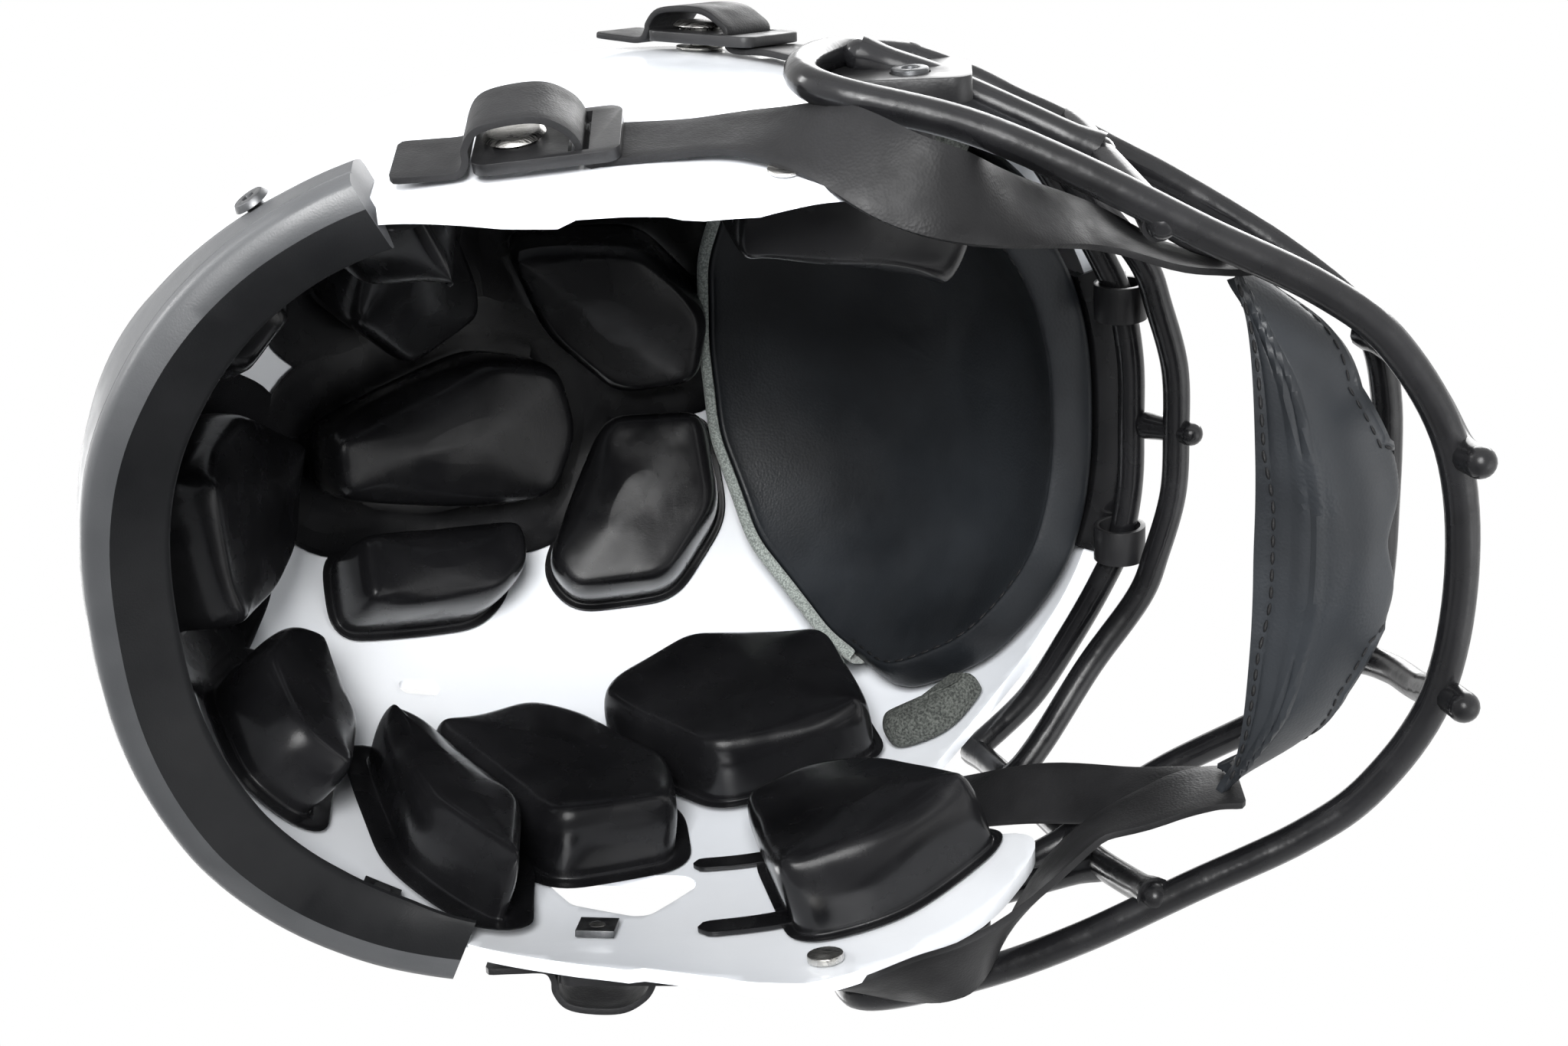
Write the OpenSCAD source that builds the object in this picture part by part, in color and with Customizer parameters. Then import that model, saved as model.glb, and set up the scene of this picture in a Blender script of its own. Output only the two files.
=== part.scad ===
// Football helmet with a wire face mask, padded liner and four-point chin strap.
// Millimetres, +Z up, -Y is the wearer's front, +X is the wearer's left.
// The origin is under the middle of the overall box, on the surface the helmet stands on.

/* [Shell] */
// which sub-part is drawn
// half of the shell's outside width
shell_half_width = 120.5; // [105:0.5:135]
// height of the shell's centre above the surface it stands on
shell_centre_height = 120.5; // [100:0.5:140]
// wall thickness of the moulded shell
shell_wall = 4; // [3:0.1:6]
// how square the shell is across, 2 is an ellipse
shell_fullness = 2.35; // [2:0.05:3]
// side view of the shell, angle from straight ahead going up over the crown, then radius
shell_profile = [
    [-2.5, 146], [27.5, 147], [57.5, 145], [87.5, 140],
    [117.5, 144], [147.5, 149], [177.5, 152], [207.5, 157],
    [223.5, 170], [244.5, 198], [267.5, 204], [282.5, 226],
    [297.5, 248], [309.5, 226], [321.5, 192], [339.5, 158]];
// height of the shell's edge over the brow
brow_edge_height = 156.4; // [140:0.5:170]
// edge of the face opening in side view, from the brow down to the jaw tip, as front to back and height
face_edge = [
    [-131, brow_edge_height - 0.1], [-117, 152], [-101, 141], [-83, 120],
    [-74, 100], [-77, 84], [-88, 70.5], [-101.5, 58],
    [-108, 49], [-109.5, 40], [-104.5, 31], [-94.5, 21.5]];
// lower edge of the shell in side view, from the jaw back to the rear bumper
lower_edge = [
    [-77, 15], [-65, 9.5], [-55, 4], [-47, 0],
    [-34, 0], [-25, 3.2], [-15, 5.3], [-3, 7],
    [1, 4.2], [15, 7], [25, 10.2], [35, 13.3], [47, 17]];
// ear hole corners in side view, round them by ear_corner_radius
ear_corners = [[-4, 69], [29, 70], [21, 59], [5, 53]];
// radius of the ear hole's corners
ear_corner_radius = 6; // [3:0.5:9]
// vent slot width in the shell
vent_width = 8; // [5:0.5:12]
// vent slot length in the shell
vent_length = 26; // [14:1:40]

/* [Bumpers] */
// how far the rear bumper stands out from the shell
bumper_stand_out = 8; // [5:0.5:11]
// half of the angle the rear bumper covers, seen from above
bumper_half_angle = 65; // [50:1:75]
// width of the rear bumper's flange under the shell's edge
flange_width = 19.5; // [12:0.5:26]
// thickness of that flange
flange_thickness = 2.5; // [1.5:0.1:4]
// bottom of the rear bumper, front to back and height
bumper_bottom = [[50, 16.4], [60, 14], [70, 11.1], [80, 8.6], [90, 5.6], [100, 2.5], [108, 0], [160, 0]];
// top of the rear bumper, front to back and height
bumper_top = [[50, 33], [70, 30], [99, 31], [115, 40], [128, 47], [160, 48]];
// how far the rear bumper's flange rises to its inner edge, front to back and height
flange_rise = [[50, 1], [60, 3], [72, 7], [90, 9], [110, 9.5], [160, 10]];
// height of the shell's edge above the bottom of the rear bumper
bumper_tray = 7.5; // [5:0.5:12]
// half of the angle the front bumper covers
front_bumper_half_angle = 19; // [10:0.5:26]
// thickness of the front bumper's legs
front_bumper_leg = 2.3; // [1.5:0.1:4]

/* [Face mask] */
// diameter of the coated wire
bar_d = 8.2; // [6:0.1:10]
// diameter of the heavier chin bar
chin_bar_d = 8.6; // [6:0.1:11]
// chin bar from the middle to the wearer's left, then up the side loop
chin_bar_bends = [
    [0, -216.5, 23.5], [34, -212, 23], [60, -197.5, 24], [75, -179.5, 24],
    [90, -151, 24], [106, -121.5, 24.5], [118, -94.5, 26], [126, -65.5, 27.5],
    [128.8, -56, 37], [129, -56.5, 58], [127.5, -65, 76], [124.5, -81.5, 82]];
// middle bar from the middle to the side loop
middle_bar_bends = [
    [0, -207.5, 76.5], [30, -206.5, 77], [50, -200.5, 78.5], [68, -181, 82],
    [87, -151.5, 87], [99, -131.5, 84], [107, -119.5, 79], [113, -108, 77.5],
    [119, -96.5, 79], [124.5, -81.5, 82]];
// brow bar from the middle to its corner
brow_bar_bends = [
    [0, -144.2, 145.5], [20, -143.9, 145.5], [39, -140.8, 145.5], [52, -135.5, 145.3],
    [70, -125.8, 144.5], [91, -112, 142], [107.8, -93.8, 138.5]];
// second bar, under the brow bar
second_bar_bends = [
    [0, -157, 137.2], [20, -156.3, 137], [39, -151.4, 136], [54, -146, 135.8],
    [75, -130.5, 131.5], [95, -115.5, 121], [107, -104.5, 113.5]];
// side strut from the chin bar up to the brow bar's corner
side_strut_bends = [
    [93, -141, 24], [102, -129, 56.5], [106.8, -121, 80.5], [107, -106, 113], [107.8, -93.8, 138.5]];
// side rail from the side strut back to the side loop
side_rail_bends = [[103, -128.5, 58.5], [113, -107, 64], [121.5, -87.5, 68], [128, -68.5, 70]];
// front strut from its knob up to the middle bar
front_strut_bends = [
    [33, -217, 15], [33.5, -214, 24], [39.5, -211.5, 40], [44, -208.5, 60], [48, -201.3, 78.5]];
// centre strut over the brow bar and the second bar, ending in a knob
centre_strut_bends = [[0, -148.5, 143.5], [0, -156, 138], [0, -161, 134]];

/* [Mask fixings] */
// distance of each brow clip from the middle
clip_offset = 39; // [30:0.5:46]
// width of a brow clip along the bar
clip_width = 11; // [8:0.5:16]
// play between the brow clip and the bar in it
clip_play = 2.3; // [1:0.1:3]
// thickness of the brow clip's band
clip_band = 1.6; // [1.2:0.1:3]
// height of the brow clip's screw above the shell's edge
clip_screw_rise = 12.6; // [10:0.1:20]
// height of the side clip's button
side_clip_height = 59.5; // [56:0.5:66]
// front to back place of the side clip's button
side_clip_reach = -81.5; // [-88:0.5:-76]
// distance of the side clip's outer face from the middle
side_clip_out = 125; // [121:0.5:127]
// radius of the release button
button_radius = 4.8; // [3:0.1:6]
// running clearance round the button
button_play = 0.3; // [0.1:0.05:0.6]
// travel of the button
button_travel = 2.5; // [1.5:0.1:4]

/* [Chin strap] */
// strap width
strap_width = 22; // [16:0.5:28]
// strap thickness
strap_thickness = 1.8; // [1.2:0.1:3]
// lower snap, front to back and height
lower_snap = [14, 32];
// upper snap, front to back and height
upper_snap = [-20, 142];
// radius of the snap's metal cap
snap_cap_radius = 8; // [6:0.5:10]
// buckle length along the strap
buckle_length = 36; // [28:1:46]
// buckle width
buckle_width = 28; // [24:0.5:34]
// distance from the snap's middle to the buckle's end
buckle_nose = 10; // [8:0.5:14]
// buckle thickness
buckle_thickness = 3; // [2:0.1:4.5]
// height of the arch that the lower straps make over their snaps
lower_arch = 17; // [13:0.5:20]
// height of that arch on the upper straps
upper_arch = 12; // [11.5:0.1:14]
// length of the strap's tail beyond the buckle
tail_length = 18; // [10:1:22]
// chin cup sheet thickness
cup_thickness = 3; // [2:0.1:5]
// chin cup lining thickness
liner_thickness = 3.2; // [2:0.1:6]
// gap between the chin cup and its lining
liner_play = 0.6; // [0.4:0.1:2]
// rear lower edge of the chin cup, from the middle to its corner
cup_rear_edge = [
    [0, -167, 40], [14, -167, 39.5], [28, -166.5, 38.5], [48, -165.5, 40], [62, -164, 42.5], [73, -161, 44]];
// belly of the chin cup
cup_belly = [
    [0, -186, 35], [14, -185.5, 35], [27, -183, 35.5], [45, -178, 36.5], [60, -170.5, 41], [73.5, -163.5, 48]];
// front of the chin cup, its tongue reaches out on both sides of the middle
cup_front = [
    [0, -202.5, 45], [14, -205, 47], [28, -202, 48], [45, -194, 48], [59, -184, 50], [74, -164.5, 55]];
// top edge of the chin cup
cup_top_edge = [
    [0, -196.5, 66], [14, -196, 66], [27, -191, 65.5], [44, -182.5, 63.5], [59, -172, 62], [73, -161, 62]];

/* [Liner pads] */
// gap between the shell and whatever is fixed inside it
liner_gap = 0.8; // [0.3:0.1:2]
// thickness of the crown pads
crown_pad_thickness = 28; // [15:1:36]
// thickness of the pads at the back and the sides
side_pad_thickness = 24; // [12:0.1:34]
// thickness of the jaw pads
jaw_pad_thickness = 27; // [15:1:34]
// length that the round at each corner of a pad takes from its sides
pad_corner = 8; // [4:0.5:12]
// width of the rounding between a pad's face and its walls
pad_edge = 6.5; // [3:0.5:9]
// thickness of the front pad
front_pad_thickness = 13.5; // [10:0.5:26]
// radius of an inflation valve's needle hole
valve_bore_radius = 1.6; // [1:0.1:3]
// depth of an inflation valve's needle hole
valve_bore_depth = 8; // [5:0.5:12]

/* [Pad outlines] */
// corners of each pad where it lies on the shell, crown pad, front left
crown_front_left_corners = [
    [32, 36, 250], [32, 0, 253], [64, -5, 240], [86, 12, 221], [86, 46, 212], [76, 56, 220]];
// crown pad, front right
crown_front_right_corners = [
    [-45, 63, 236], [-43, 18, 249], [-16, -4, 255], [10, 1, 256], [13, 31, 253], [-12, 54, 247]];
// crown pad, rear middle
crown_centre_corners = [
    [12, 125, 192], [1, 84, 235], [7, 65, 245], [27, 60, 245], [45, 67, 237], [43, 85, 224], [26, 125, 190]];
// crown pad, rear left
crown_rear_left_corners = [[52, 121, 179], [65, 80, 217], [78, 78, 206], [83, 82, 196], [71, 117, 163]];
// crown pad, rear right
crown_rear_right_corners = [
    [-80, 94, 184], [-71, 85, 207], [-40, 83, 229], [-29, 85, 231], [-16, 108, 214], [-40, 121, 190]];
// pad at the back, middle
rear_centre_corners = [
    [-20, 146, 124], [6, 138, 166], [34, 138, 142], [40, 141, 118], [35, 145, 78], [-14, 150, 76]];
// pad at the back, left
rear_left_corners = [
    [58, 133, 112], [69, 125, 126], [84, 106, 92], [82, 99, 52], [66, 115, 50], [54, 132, 78]];
// pad at the nape, left
nape_corners = [[90, 98, 110], [98, 84, 108], [104, 64, 89], [107, 46, 70], [101, 38, 24], [97, 72, 50]];
// side pad, rear left
side_rear_corners = [
    [102, 82, 118], [110, 53, 144], [113, 34, 140], [116, 3, 113], [115, -3, 81], [112, 32, 65]];
// side pad, front left
side_front_corners = [
    [111, 28, 149], [109, 25, 161], [104, 1, 185], [100, -48, 180], [104, -64, 130], [113, -13, 112]];
// jaw pad, left
jaw_corners = [
    [115, -29, 83], [111, -51, 95], [105, -73, 87], [97, -93, 65], [92, -101, 53],
    [106, -70, 34], [109, -44, 28]];
// front pad, left half from the top edge round to the brow
front_corners = [
    [0, -11, 249], [40, -12, 243], [70, -24, 218], [88, -50, 182],
    [94, -70, 158], [80, -100, 152], [50, -126, 150], [14, -137, 155]];
// foam wedge between the front pad and the temple, left
foam_corners = [[99, -64, 146], [84, -99, 145], [93, -85, 130], [102, -66, 132]];

/* [Hidden] */
left = 1;
right = -1;
clear = 0.4;
snug = 0.1;
centre = [0, 0, shell_centre_height];
clip_screw_height = brow_edge_height + clip_screw_rise;
// the chin bar's knobs reach furthest forward and the back of the shell furthest back
front_reach = bar_d / 2 - front_strut_bends[0][1];
rear_reach = shell_profile[6][1];
shell_shift = (front_reach - rear_reach) / 2;
bar_sides = 8;
hinge = [clip_offset, brow_bar_bends[2][1], brow_bar_bends[2][2]];

// radius of the shell's side view at an angle, a smooth closed curve through the profile
function knot(i) = let (n = len(shell_profile), k = floor(i / n))
    [shell_profile[i - k * n][0] + 360 * k, shell_profile[i - k * n][1]];
function slope(i) = (knot(i + 1)[1] - knot(i - 1)[1]) / (knot(i + 1)[0] - knot(i - 1)[0]);
function blend(a, b, ma, mb, t) =
    (2 * t * t * t - 3 * t * t + 1) * a + (t * t * t - 2 * t * t + t) * ma
    + (3 * t * t - 2 * t * t * t) * b + (t * t * t - t * t) * mb;
function side_radius(angle) = let (
        first = shell_profile[0][0],
        a = angle - 360 * floor((angle - first) / 360),
        i = len([for (p = shell_profile) if (p[0] <= a) 1]) - 1,
        h = knot(i + 1)[0] - knot(i)[0])
    blend(knot(i)[1], knot(i + 1)[1], slope(i) * h, slope(i + 1) * h, (a - knot(i)[0]) / h);

// a point is measured against the shell, inset by depth: under 1 inside, over 1 outside
function fullness(d, depth) =
    pow(norm([d[1], d[2]]) / (side_radius(atan2(d[2], -d[1])) - depth), shell_fullness)
    + pow(abs(d[0]) / (shell_half_width - depth), shell_fullness);
// the point where the line from the shell's centre through p meets the shell inset by depth
function on_shell(p, depth) = let (d = p - centre)
    centre + d * pow(fullness(d, depth), -1 / shell_fullness);
// distance from the centre line to the shell inset by depth, at a height and an angle from the front
function reach(turn, z, depth, r = 120, steps = 9) = steps == 0 ? r
    : reach(turn, z, depth,
        r * pow(fullness([r * sin(turn), -r * cos(turn), z - shell_centre_height], depth), -1 / shell_fullness),
        steps - 1);
function wall_point(turn, z, depth) = let (r = reach(turn, z, depth)) [r * sin(turn), -r * cos(turn), z];
function unit(v) = v / norm(v);
// outward direction of the shell at a point
function outward(p) = let (d = p - centre, e = 0.5, f = fullness(d, 0))
    unit([fullness(d + [e, 0, 0], 0) - f, fullness(d + [0, e, 0], 0) - f, fullness(d + [0, 0, e], 0) - f]);
// shell point at a side, from its front to back place and its height
function side_point(side, y, z, depth = 0) = let (
        d = [0, y, z - shell_centre_height],
        q = pow(norm(d) / (side_radius(atan2(d[2], -y)) - depth), shell_fullness))
    [side * (shell_half_width - depth) * pow(1 - q, 1 / shell_fullness), y, z];

// smooth path through points
function at(p, i) = p[min(max(i, 0), len(p) - 1)];
function curve(p, n) = concat(
    [for (i = [0:len(p) - 2]) for (k = [0:n - 1])
        blend(p[i], p[i + 1], (p[i + 1] - at(p, i - 1)) / 2, (at(p, i + 2) - p[i]) / 2, k / n)],
    [p[len(p) - 1]]);
function mirrored(p) = [for (v = p) [-v[0], v[1], v[2]]];
function sided(p, side) = side > 0 ? p : mirrored(p);
function both_sides(p) = concat([for (i = [len(p) - 1:-1:1]) [-p[i][0], p[i][1], p[i][2]]], p);
function average(p, i = 0) = i == len(p) - 1 ? p[i] / len(p) : p[i] / len(p) + average(p, i + 1);
function heading(p, i) = unit(at(p, i + 1) - at(p, i - 1));
function square_to(v, t) = unit(v - (v * t) * t);
// side directions carried along a path without twist
function carried(p, start) = [for (
    i = 0, u = square_to(start, heading(p, 0));
    i < len(p);
    i = i + 1, u = i < len(p) ? square_to(u, heading(p, i)) : u) u];

// closed solid through rings of points, with a point at each end
module ringed(rings, first_tip, last_tip) {
    n = len(rings[0]);
    m = len(rings);
    points = concat([for (r = rings) for (p = r) p], [first_tip, last_tip]);
    sides = [for (k = [0:m - 2]) for (i = [0:n - 1]) let (
            a = k * n + i, b = k * n + (i + 1) % n, c = b + n, d = a + n)
        each [[a, c, b], [a, d, c]]];
    first = [for (i = [0:n - 1]) [m * n, i, (i + 1) % n]];
    last = [for (i = [0:n - 1]) [m * n + 1, (m - 1) * n + (i + 1) % n, (m - 1) * n + i]];
    polyhedron(points, concat(sides, first, last), convexity = 6);
}

// closed solid through flat rings, with flat ends
module lofted(rings) {
    n = len(rings[0]);
    m = len(rings);
    sides = [for (k = [0:m - 2]) for (i = [0:n - 1]) let (
            a = k * n + i, b = k * n + (i + 1) % n, c = b + n, d = a + n)
        each [[a, c, b], [a, d, c]]];
    first = [[for (i = [0:n - 1]) i]];
    last = [[for (i = [n - 1:-1:0]) (m - 1) * n + i]];
    polyhedron([for (r = rings) for (p = r) p], concat(sides, first, last), convexity = 6);
}

// round bar along a path with domed ends
module bar(path, d, start = [0.3, 0.5, 1]) {
    u = carried(path, start);
    last = len(path) - 1;
    rings = [for (i = [0:last]) let (t = heading(path, i), v = cross(t, u[i])) [for (k = [0:bar_sides - 1])
        path[i] + d / 2 * (cos(360 * k / bar_sides) * u[i] + sin(360 * k / bar_sides) * v)]];
    ringed(rings, path[0] - heading(path, 0) * d * 0.3, path[last] + heading(path, last) * d * 0.3);
}

// flat band along a path, faces gives its outward direction at each point
module band(path, faces, w, t) {
    rings = [for (i = [0:len(path) - 1]) let (
            h = heading(path, i), n = square_to(faces[i], h), s = cross(h, n))
        [path[i] - s * w / 2 - n * t / 2, path[i] + s * w / 2 - n * t / 2,
            path[i] + s * w / 2 + n * t / 2, path[i] - s * w / 2 + n * t / 2]];
    lofted([for (r = rings) [r[3], r[2], r[1], r[0]]]);
}

// outline with round corners
function around(p, i) = p[(i + len(p)) % len(p)];
function toward(a, b) = a + unit(b - a) * min(pad_corner, norm(b - a) * 0.42);
function rounded(p) = [for (i = [0:len(p) - 1]) let (
        a = toward(p[i], around(p, i - 1)), b = toward(p[i], around(p, i + 1)), m = (a + b) / 2)
    each [a, m + (p[i] - m) * 0.38 + (a - m) * 0.45, m + (p[i] - m) * 0.38 + (b - m) * 0.45, b]];

// the point where the line through p along out meets the shell inset by depth
function to_wall(p, out, depth, steps = 6) = steps == 0 ? p
    : to_wall(p + ((on_shell(p, depth) - p) * out) * out, out, depth, steps - 1);

// pad that stands on the shell: walls along one direction, edges rounded, face nearly flat
module cushion(corners, base, thickness) {
    out = outward(on_shell(average(corners), 0));
    seat = [for (p = rounded(corners)) to_wall(p, out, base)];
    n = len(seat);
    middle = average(seat);
    spin = cross(seat[0] - middle, seat[1] - middle) * out > 0 ? 1 : -1;
    inward = [for (i = [0:n - 1]) unit(cross(out, around(seat, i + 1) - around(seat, i - 1))) * spin];
    levels = [[0, 0], [0.1, 0.7], [0.25, 0.86], [0.6, 0.97], [1, 1]];
    rings = [for (l = levels)
        [for (i = [0:n - 1]) seat[i] + pad_edge * l[0] * inward[i] - out * thickness * l[1]]];
    ordered = spin < 0 ? rings : [for (r = rings) [for (i = [n - 1:-1:0]) r[i]]];
    ringed(ordered, to_wall(middle, out, base), middle - out * thickness * 1.03);
}

// wide pad that follows the shell round the brow
module curved_cushion(corners, base, thickness) {
    outline = rounded(corners);
    middle = average(outline);
    levels = [[0.985, 0], [1, 0.2], [1, 0.7], [0.985, 0.9], [0.95, 1]];
    rings = [for (l = levels)
        [for (p = outline) on_shell(middle + l[0] * (p - middle), base + l[1] * thickness)]];
    ringed(rings, on_shell(middle, base), on_shell(middle, base + thickness * 1.04));
}

// curved sheet between two depths along a grid's outward directions
function grid_out(g, i, k) = let (
        a = g[min(i + 1, len(g) - 1)][k] - g[max(i - 1, 0)][k],
        b = g[i][min(k + 1, len(g[0]) - 1)] - g[i][max(k - 1, 0)])
    unit(cross(a, b));
module sheet(g, out, top, bottom) {
    n = len(g);
    m = len(g[0]);
    function id(i, k, s) = s * n * m + i * m + k;
    points = [for (s = [top, bottom]) for (i = [0:n - 1]) for (k = [0:m - 1]) g[i][k] + s * out[i][k]];
    faces = concat(
        [for (i = [0:n - 2]) for (k = [0:m - 2])
            each [
                [id(i, k, 0), id(i + 1, k + 1, 0), id(i + 1, k, 0)],
                [id(i, k, 0), id(i, k + 1, 0), id(i + 1, k + 1, 0)]]],
        [for (i = [0:n - 2]) for (k = [0:m - 2])
            each [
                [id(i, k, 1), id(i + 1, k, 1), id(i + 1, k + 1, 1)],
                [id(i, k, 1), id(i + 1, k + 1, 1), id(i, k + 1, 1)]]],
        [for (i = [0:n - 2]) each [
            [id(i, 0, 0), id(i + 1, 0, 0), id(i + 1, 0, 1)], [id(i, 0, 0), id(i + 1, 0, 1), id(i, 0, 1)],
            [id(i, m - 1, 0), id(i + 1, m - 1, 1), id(i + 1, m - 1, 0)],
            [id(i, m - 1, 0), id(i, m - 1, 1), id(i + 1, m - 1, 1)]]],
        [for (k = [0:m - 2]) each [
            [id(0, k, 0), id(0, k + 1, 1), id(0, k + 1, 0)], [id(0, k, 0), id(0, k, 1), id(0, k + 1, 1)],
            [id(n - 1, k, 0), id(n - 1, k + 1, 0), id(n - 1, k + 1, 1)],
            [id(n - 1, k, 0), id(n - 1, k + 1, 1), id(n - 1, k, 1)]]]);
    polyhedron(points, faces, convexity = 6);
}

// everything is drawn round the shell's centre line, then moved so that the overall box is centred
module placed() {
    translate([0, shell_shift, 0])
        children();
}

// local frame on the shell: z is outward, y is towards a second point
module on_wall(p, toward, depth = 0) {
    q = on_shell(p, depth);
    n = outward(q);
    y = square_to(toward - q, n);
    x = cross(y, n);
    multmatrix([[x[0], y[0], n[0], q[0]], [x[1], y[1], n[1], q[1]], [x[2], y[2], n[2], q[2]], [0, 0, 0, 1]])
        children();
}

// fixing places on one side
function lower_stud(side) = side_point(side, lower_snap[0], lower_snap[1]);
function upper_stud(side) = side_point(side, upper_snap[0], upper_snap[1]);
function brow_screw(side) = let (r = reach(0, clip_screw_height, 0))
    on_shell([side * clip_offset, -r * 0.965, clip_screw_height], 0);
function bumper_screw(side) = wall_point(180 - side * 52, 24, -bumper_stand_out);

// local frame on the shell as values, for straps that start on a buckle
function wall_frame(p, toward) = let (q = on_shell(p, 0), n = outward(q), y = square_to(toward - q, n))
    [q, cross(y, n), y, n];
function from_frame(f, v) = f[0] + v[0] * f[1] + v[1] * f[2] + v[2] * f[3];
function upper_frame(side) = wall_frame(upper_stud(side), side_point(side, -60, 119));
function lower_frame(side) = wall_frame(lower_stud(side), side_point(side, -40, 36));

// in the buckle's frame: the strap's tail, its arch over the snap, the slot and its run under the buckle
slot_near = 13.5;
slot_far = 18.5;
strap_under = strap_thickness / 2 + 0.5;
turn_rise = 0.6;
buckle_floor = strap_thickness + 1;
slot_height = buckle_floor + buckle_thickness / 2;
tail_height = buckle_floor - 0.2;
tail_turn = -buckle_nose - strap_thickness / 2 - 0.6;
function strap_turn(arch) = [
    [0, tail_turn - 1 - tail_length, tail_height + 0.4], [0, tail_turn - 10, tail_height],
    [0, tail_turn - 2.4, tail_height], [0, tail_turn, tail_height + 2.6], [0, tail_turn + 0.6, 0.62 * arch],
    [0, tail_turn + 4, 0.9 * arch], [0, 0, arch], [0, 8, 0.97 * arch], [0, 13.6, 0.74 * arch],
    [0, 16, slot_height + 2.6], [0, 16, slot_height], [0, 17.4, strap_under + turn_rise], [0, 21, strap_under]];
turn_faces = [
    [0, 0, 1], [0, 0, 1], [0, -0.3, 1], [0, -1, 0.2], [0, -1, 0.1], [0, -0.7, 0.7],
    [0, 0, 1], [0, 0.3, 1], [0, 0.9, 0.5], [0, 1, 0], [0, 1, 0], [0, 0.7, 0.7], [0, 0, 1]];
function turned(f, arch) = [for (v = strap_turn(arch)) from_frame(f, v)];
function turned_faces(f) = [for (v = turn_faces) v[0] * f[1] + v[1] * f[2] + v[2] * f[3]];

// closed form of the whole shell, inset by depth
module shell_form(depth) {
    around = 48;
    across = 24;
    rings = [for (k = [1:across - 1]) let (b = 90 - 180 * k / across)
        [for (i = [0:around - 1]) let (a = 360 * i / around)
            on_shell(centre + [sin(b), -cos(b) * cos(a), cos(b) * sin(a)], depth)]];
    ringed(rings, on_shell(centre + [1, 0, 0], depth), on_shell(centre - [1, 0, 0], depth));
}

// slot through the wall along a local direction
module vent(p, toward, length, width) {
    on_wall(p, toward)
        hull()
            for (s = [-1, 1])
                translate([0, s * (length - width) / 2, -shell_wall - 4])
                    cylinder(r = width / 2, h = shell_wall + 8, $fn = 12);
}
module wall_hole(p, r) {
    on_wall(p, p + [0, 0, 50])
        translate([0, 0, -shell_wall - 3])
            cylinder(r = r, h = shell_wall + 6, $fn = 16);
}

module shell() {
    outside = concat(
        [[-300, brow_edge_height], [-150, brow_edge_height]], face_edge, lower_edge,
        [for (y = [47.5, 60, 70, 80, 90, 100, 108, 160]) [y, lookup(y, bumper_bottom) + bumper_tray]],
        [[300, bumper_tray], [300, -300], [-300, -300]]);
    color("white")
    placed()
        difference() {
            shell_form(0);
            shell_form(shell_wall);
            rotate([90, 0, 90])
                linear_extrude(400, center = true)
                    polygon(outside);
            for (side = [left, right])
                hull()
                    for (c = ear_corners)
                        translate([side * shell_half_width, c[0], c[1]])
                            rotate([0, 90, 0])
                                cylinder(r = ear_corner_radius, h = 60, center = true, $fn = 20);
            for (side = [left, right]) {
                vent([side * 38, 26, 250], [side * 38, 60, 245], vent_length, vent_width);
                vent([side * 90, 88, 160], [side * 95, 60, 175], vent_length * 0.55, vent_width * 0.75);
                vent([side * 25, 138, 70], [side * 27, 138, 120], vent_length, vent_width);
                wall_hole(lower_stud(side), stud_shank + 0.3);
                wall_hole(upper_stud(side), stud_shank + 0.3);
                wall_hole(brow_screw(side), stud_shank + 0.3);
                wall_hole(jaw_snap(side), snap_shank + 0.3);
                wall_hole(valve(side), valve_stem + 0.3);
                wall_hole(bumper_screw(side), stud_shank + 0.3);
                translate([side * 95, side_clip_reach, side_clip_height])
                    rotate([0, 90, 0])
                        cylinder(r = socket_radius + 0.2, h = 40, center = true, $fn = 24);
            }
        }
}

// section of the rear bumper at an angle from the front, from the inner top round the outside
function bumper_section(turn) = let (
        y = -125 * cos(turn),
        low = lookup(y, bumper_bottom),
        high = lookup(y, bumper_top),
        rise = lookup(y, flange_rise),
        tray = low + bumper_tray - clear - 0.1,
        mid = (low + high) / 2 + 2,
        r = reach(turn, low + 1, -bumper_stand_out),
        r_in = r - flange_width,
        r_wall = reach(turn, tray, shell_wall + 1),
        r_flat = r - 8,
        floor_top = low + rise * max(0, (r_flat - r_wall) / (r_flat - r_in)) + flange_thickness)
    [for (v = [
        [reach(turn, high, -clear), high],
        [reach(turn, high, -clear - 4), high],
        [reach(turn, high - 3, -bumper_stand_out + 0.6), high - 3],
        [reach(turn, mid, -bumper_stand_out - 0.3), mid],
        [reach(turn, low + 3, -bumper_stand_out), low + 3],
        [reach(turn, low, -bumper_stand_out + 1.8), low],
        [r_flat, low],
        [r_in, low + rise],
        [r_in, low + rise + flange_thickness],
        [r_wall - 0.2, max(floor_top, tray)],
        [r_wall, tray],
        [reach(turn, tray, -clear), tray],
        [reach(turn, mid, -clear), mid]]) [v[0] * sin(turn), -v[0] * cos(turn), v[1]]];

module rear_bumper() {
    steps = 24;
    color("#26282a")
    placed()
        difference() {
            lofted([for (i = [0:steps]) bumper_section(180 + bumper_half_angle * (2 * i / steps - 1))]);
            for (side = [left, right])
                on_wall(bumper_screw(side), bumper_screw(side) + [0, 0, 50])
                    translate([0, 0, -2])
                        cylinder(r = stud_shank + 0.3, h = bumper_stand_out + 8, $fn = 24);
        }
}

// screws that hold the rear bumper's ends
module bumper_screws() {
    color("#3a3c3e")
    placed()
        for (side = [left, right])
            on_wall(bumper_screw(side), bumper_screw(side) + [0, 0, 50]) {
                translate([0, 0, bumper_stand_out + 0.8])
                    difference() {
                        cylinder(r1 = 5, r2 = 4, h = 1.8);
                        translate([0, 0, 0.7])
                            cylinder(r = 1.8, h = 2, $fn = 6);
                    }
                translate([0, 0, -shell_wall - nut_gap - nut_thickness - 1])
                    cylinder(r = stud_shank, h = shell_wall + nut_gap + nut_thickness + 2 + bumper_stand_out);
            }
}

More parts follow.
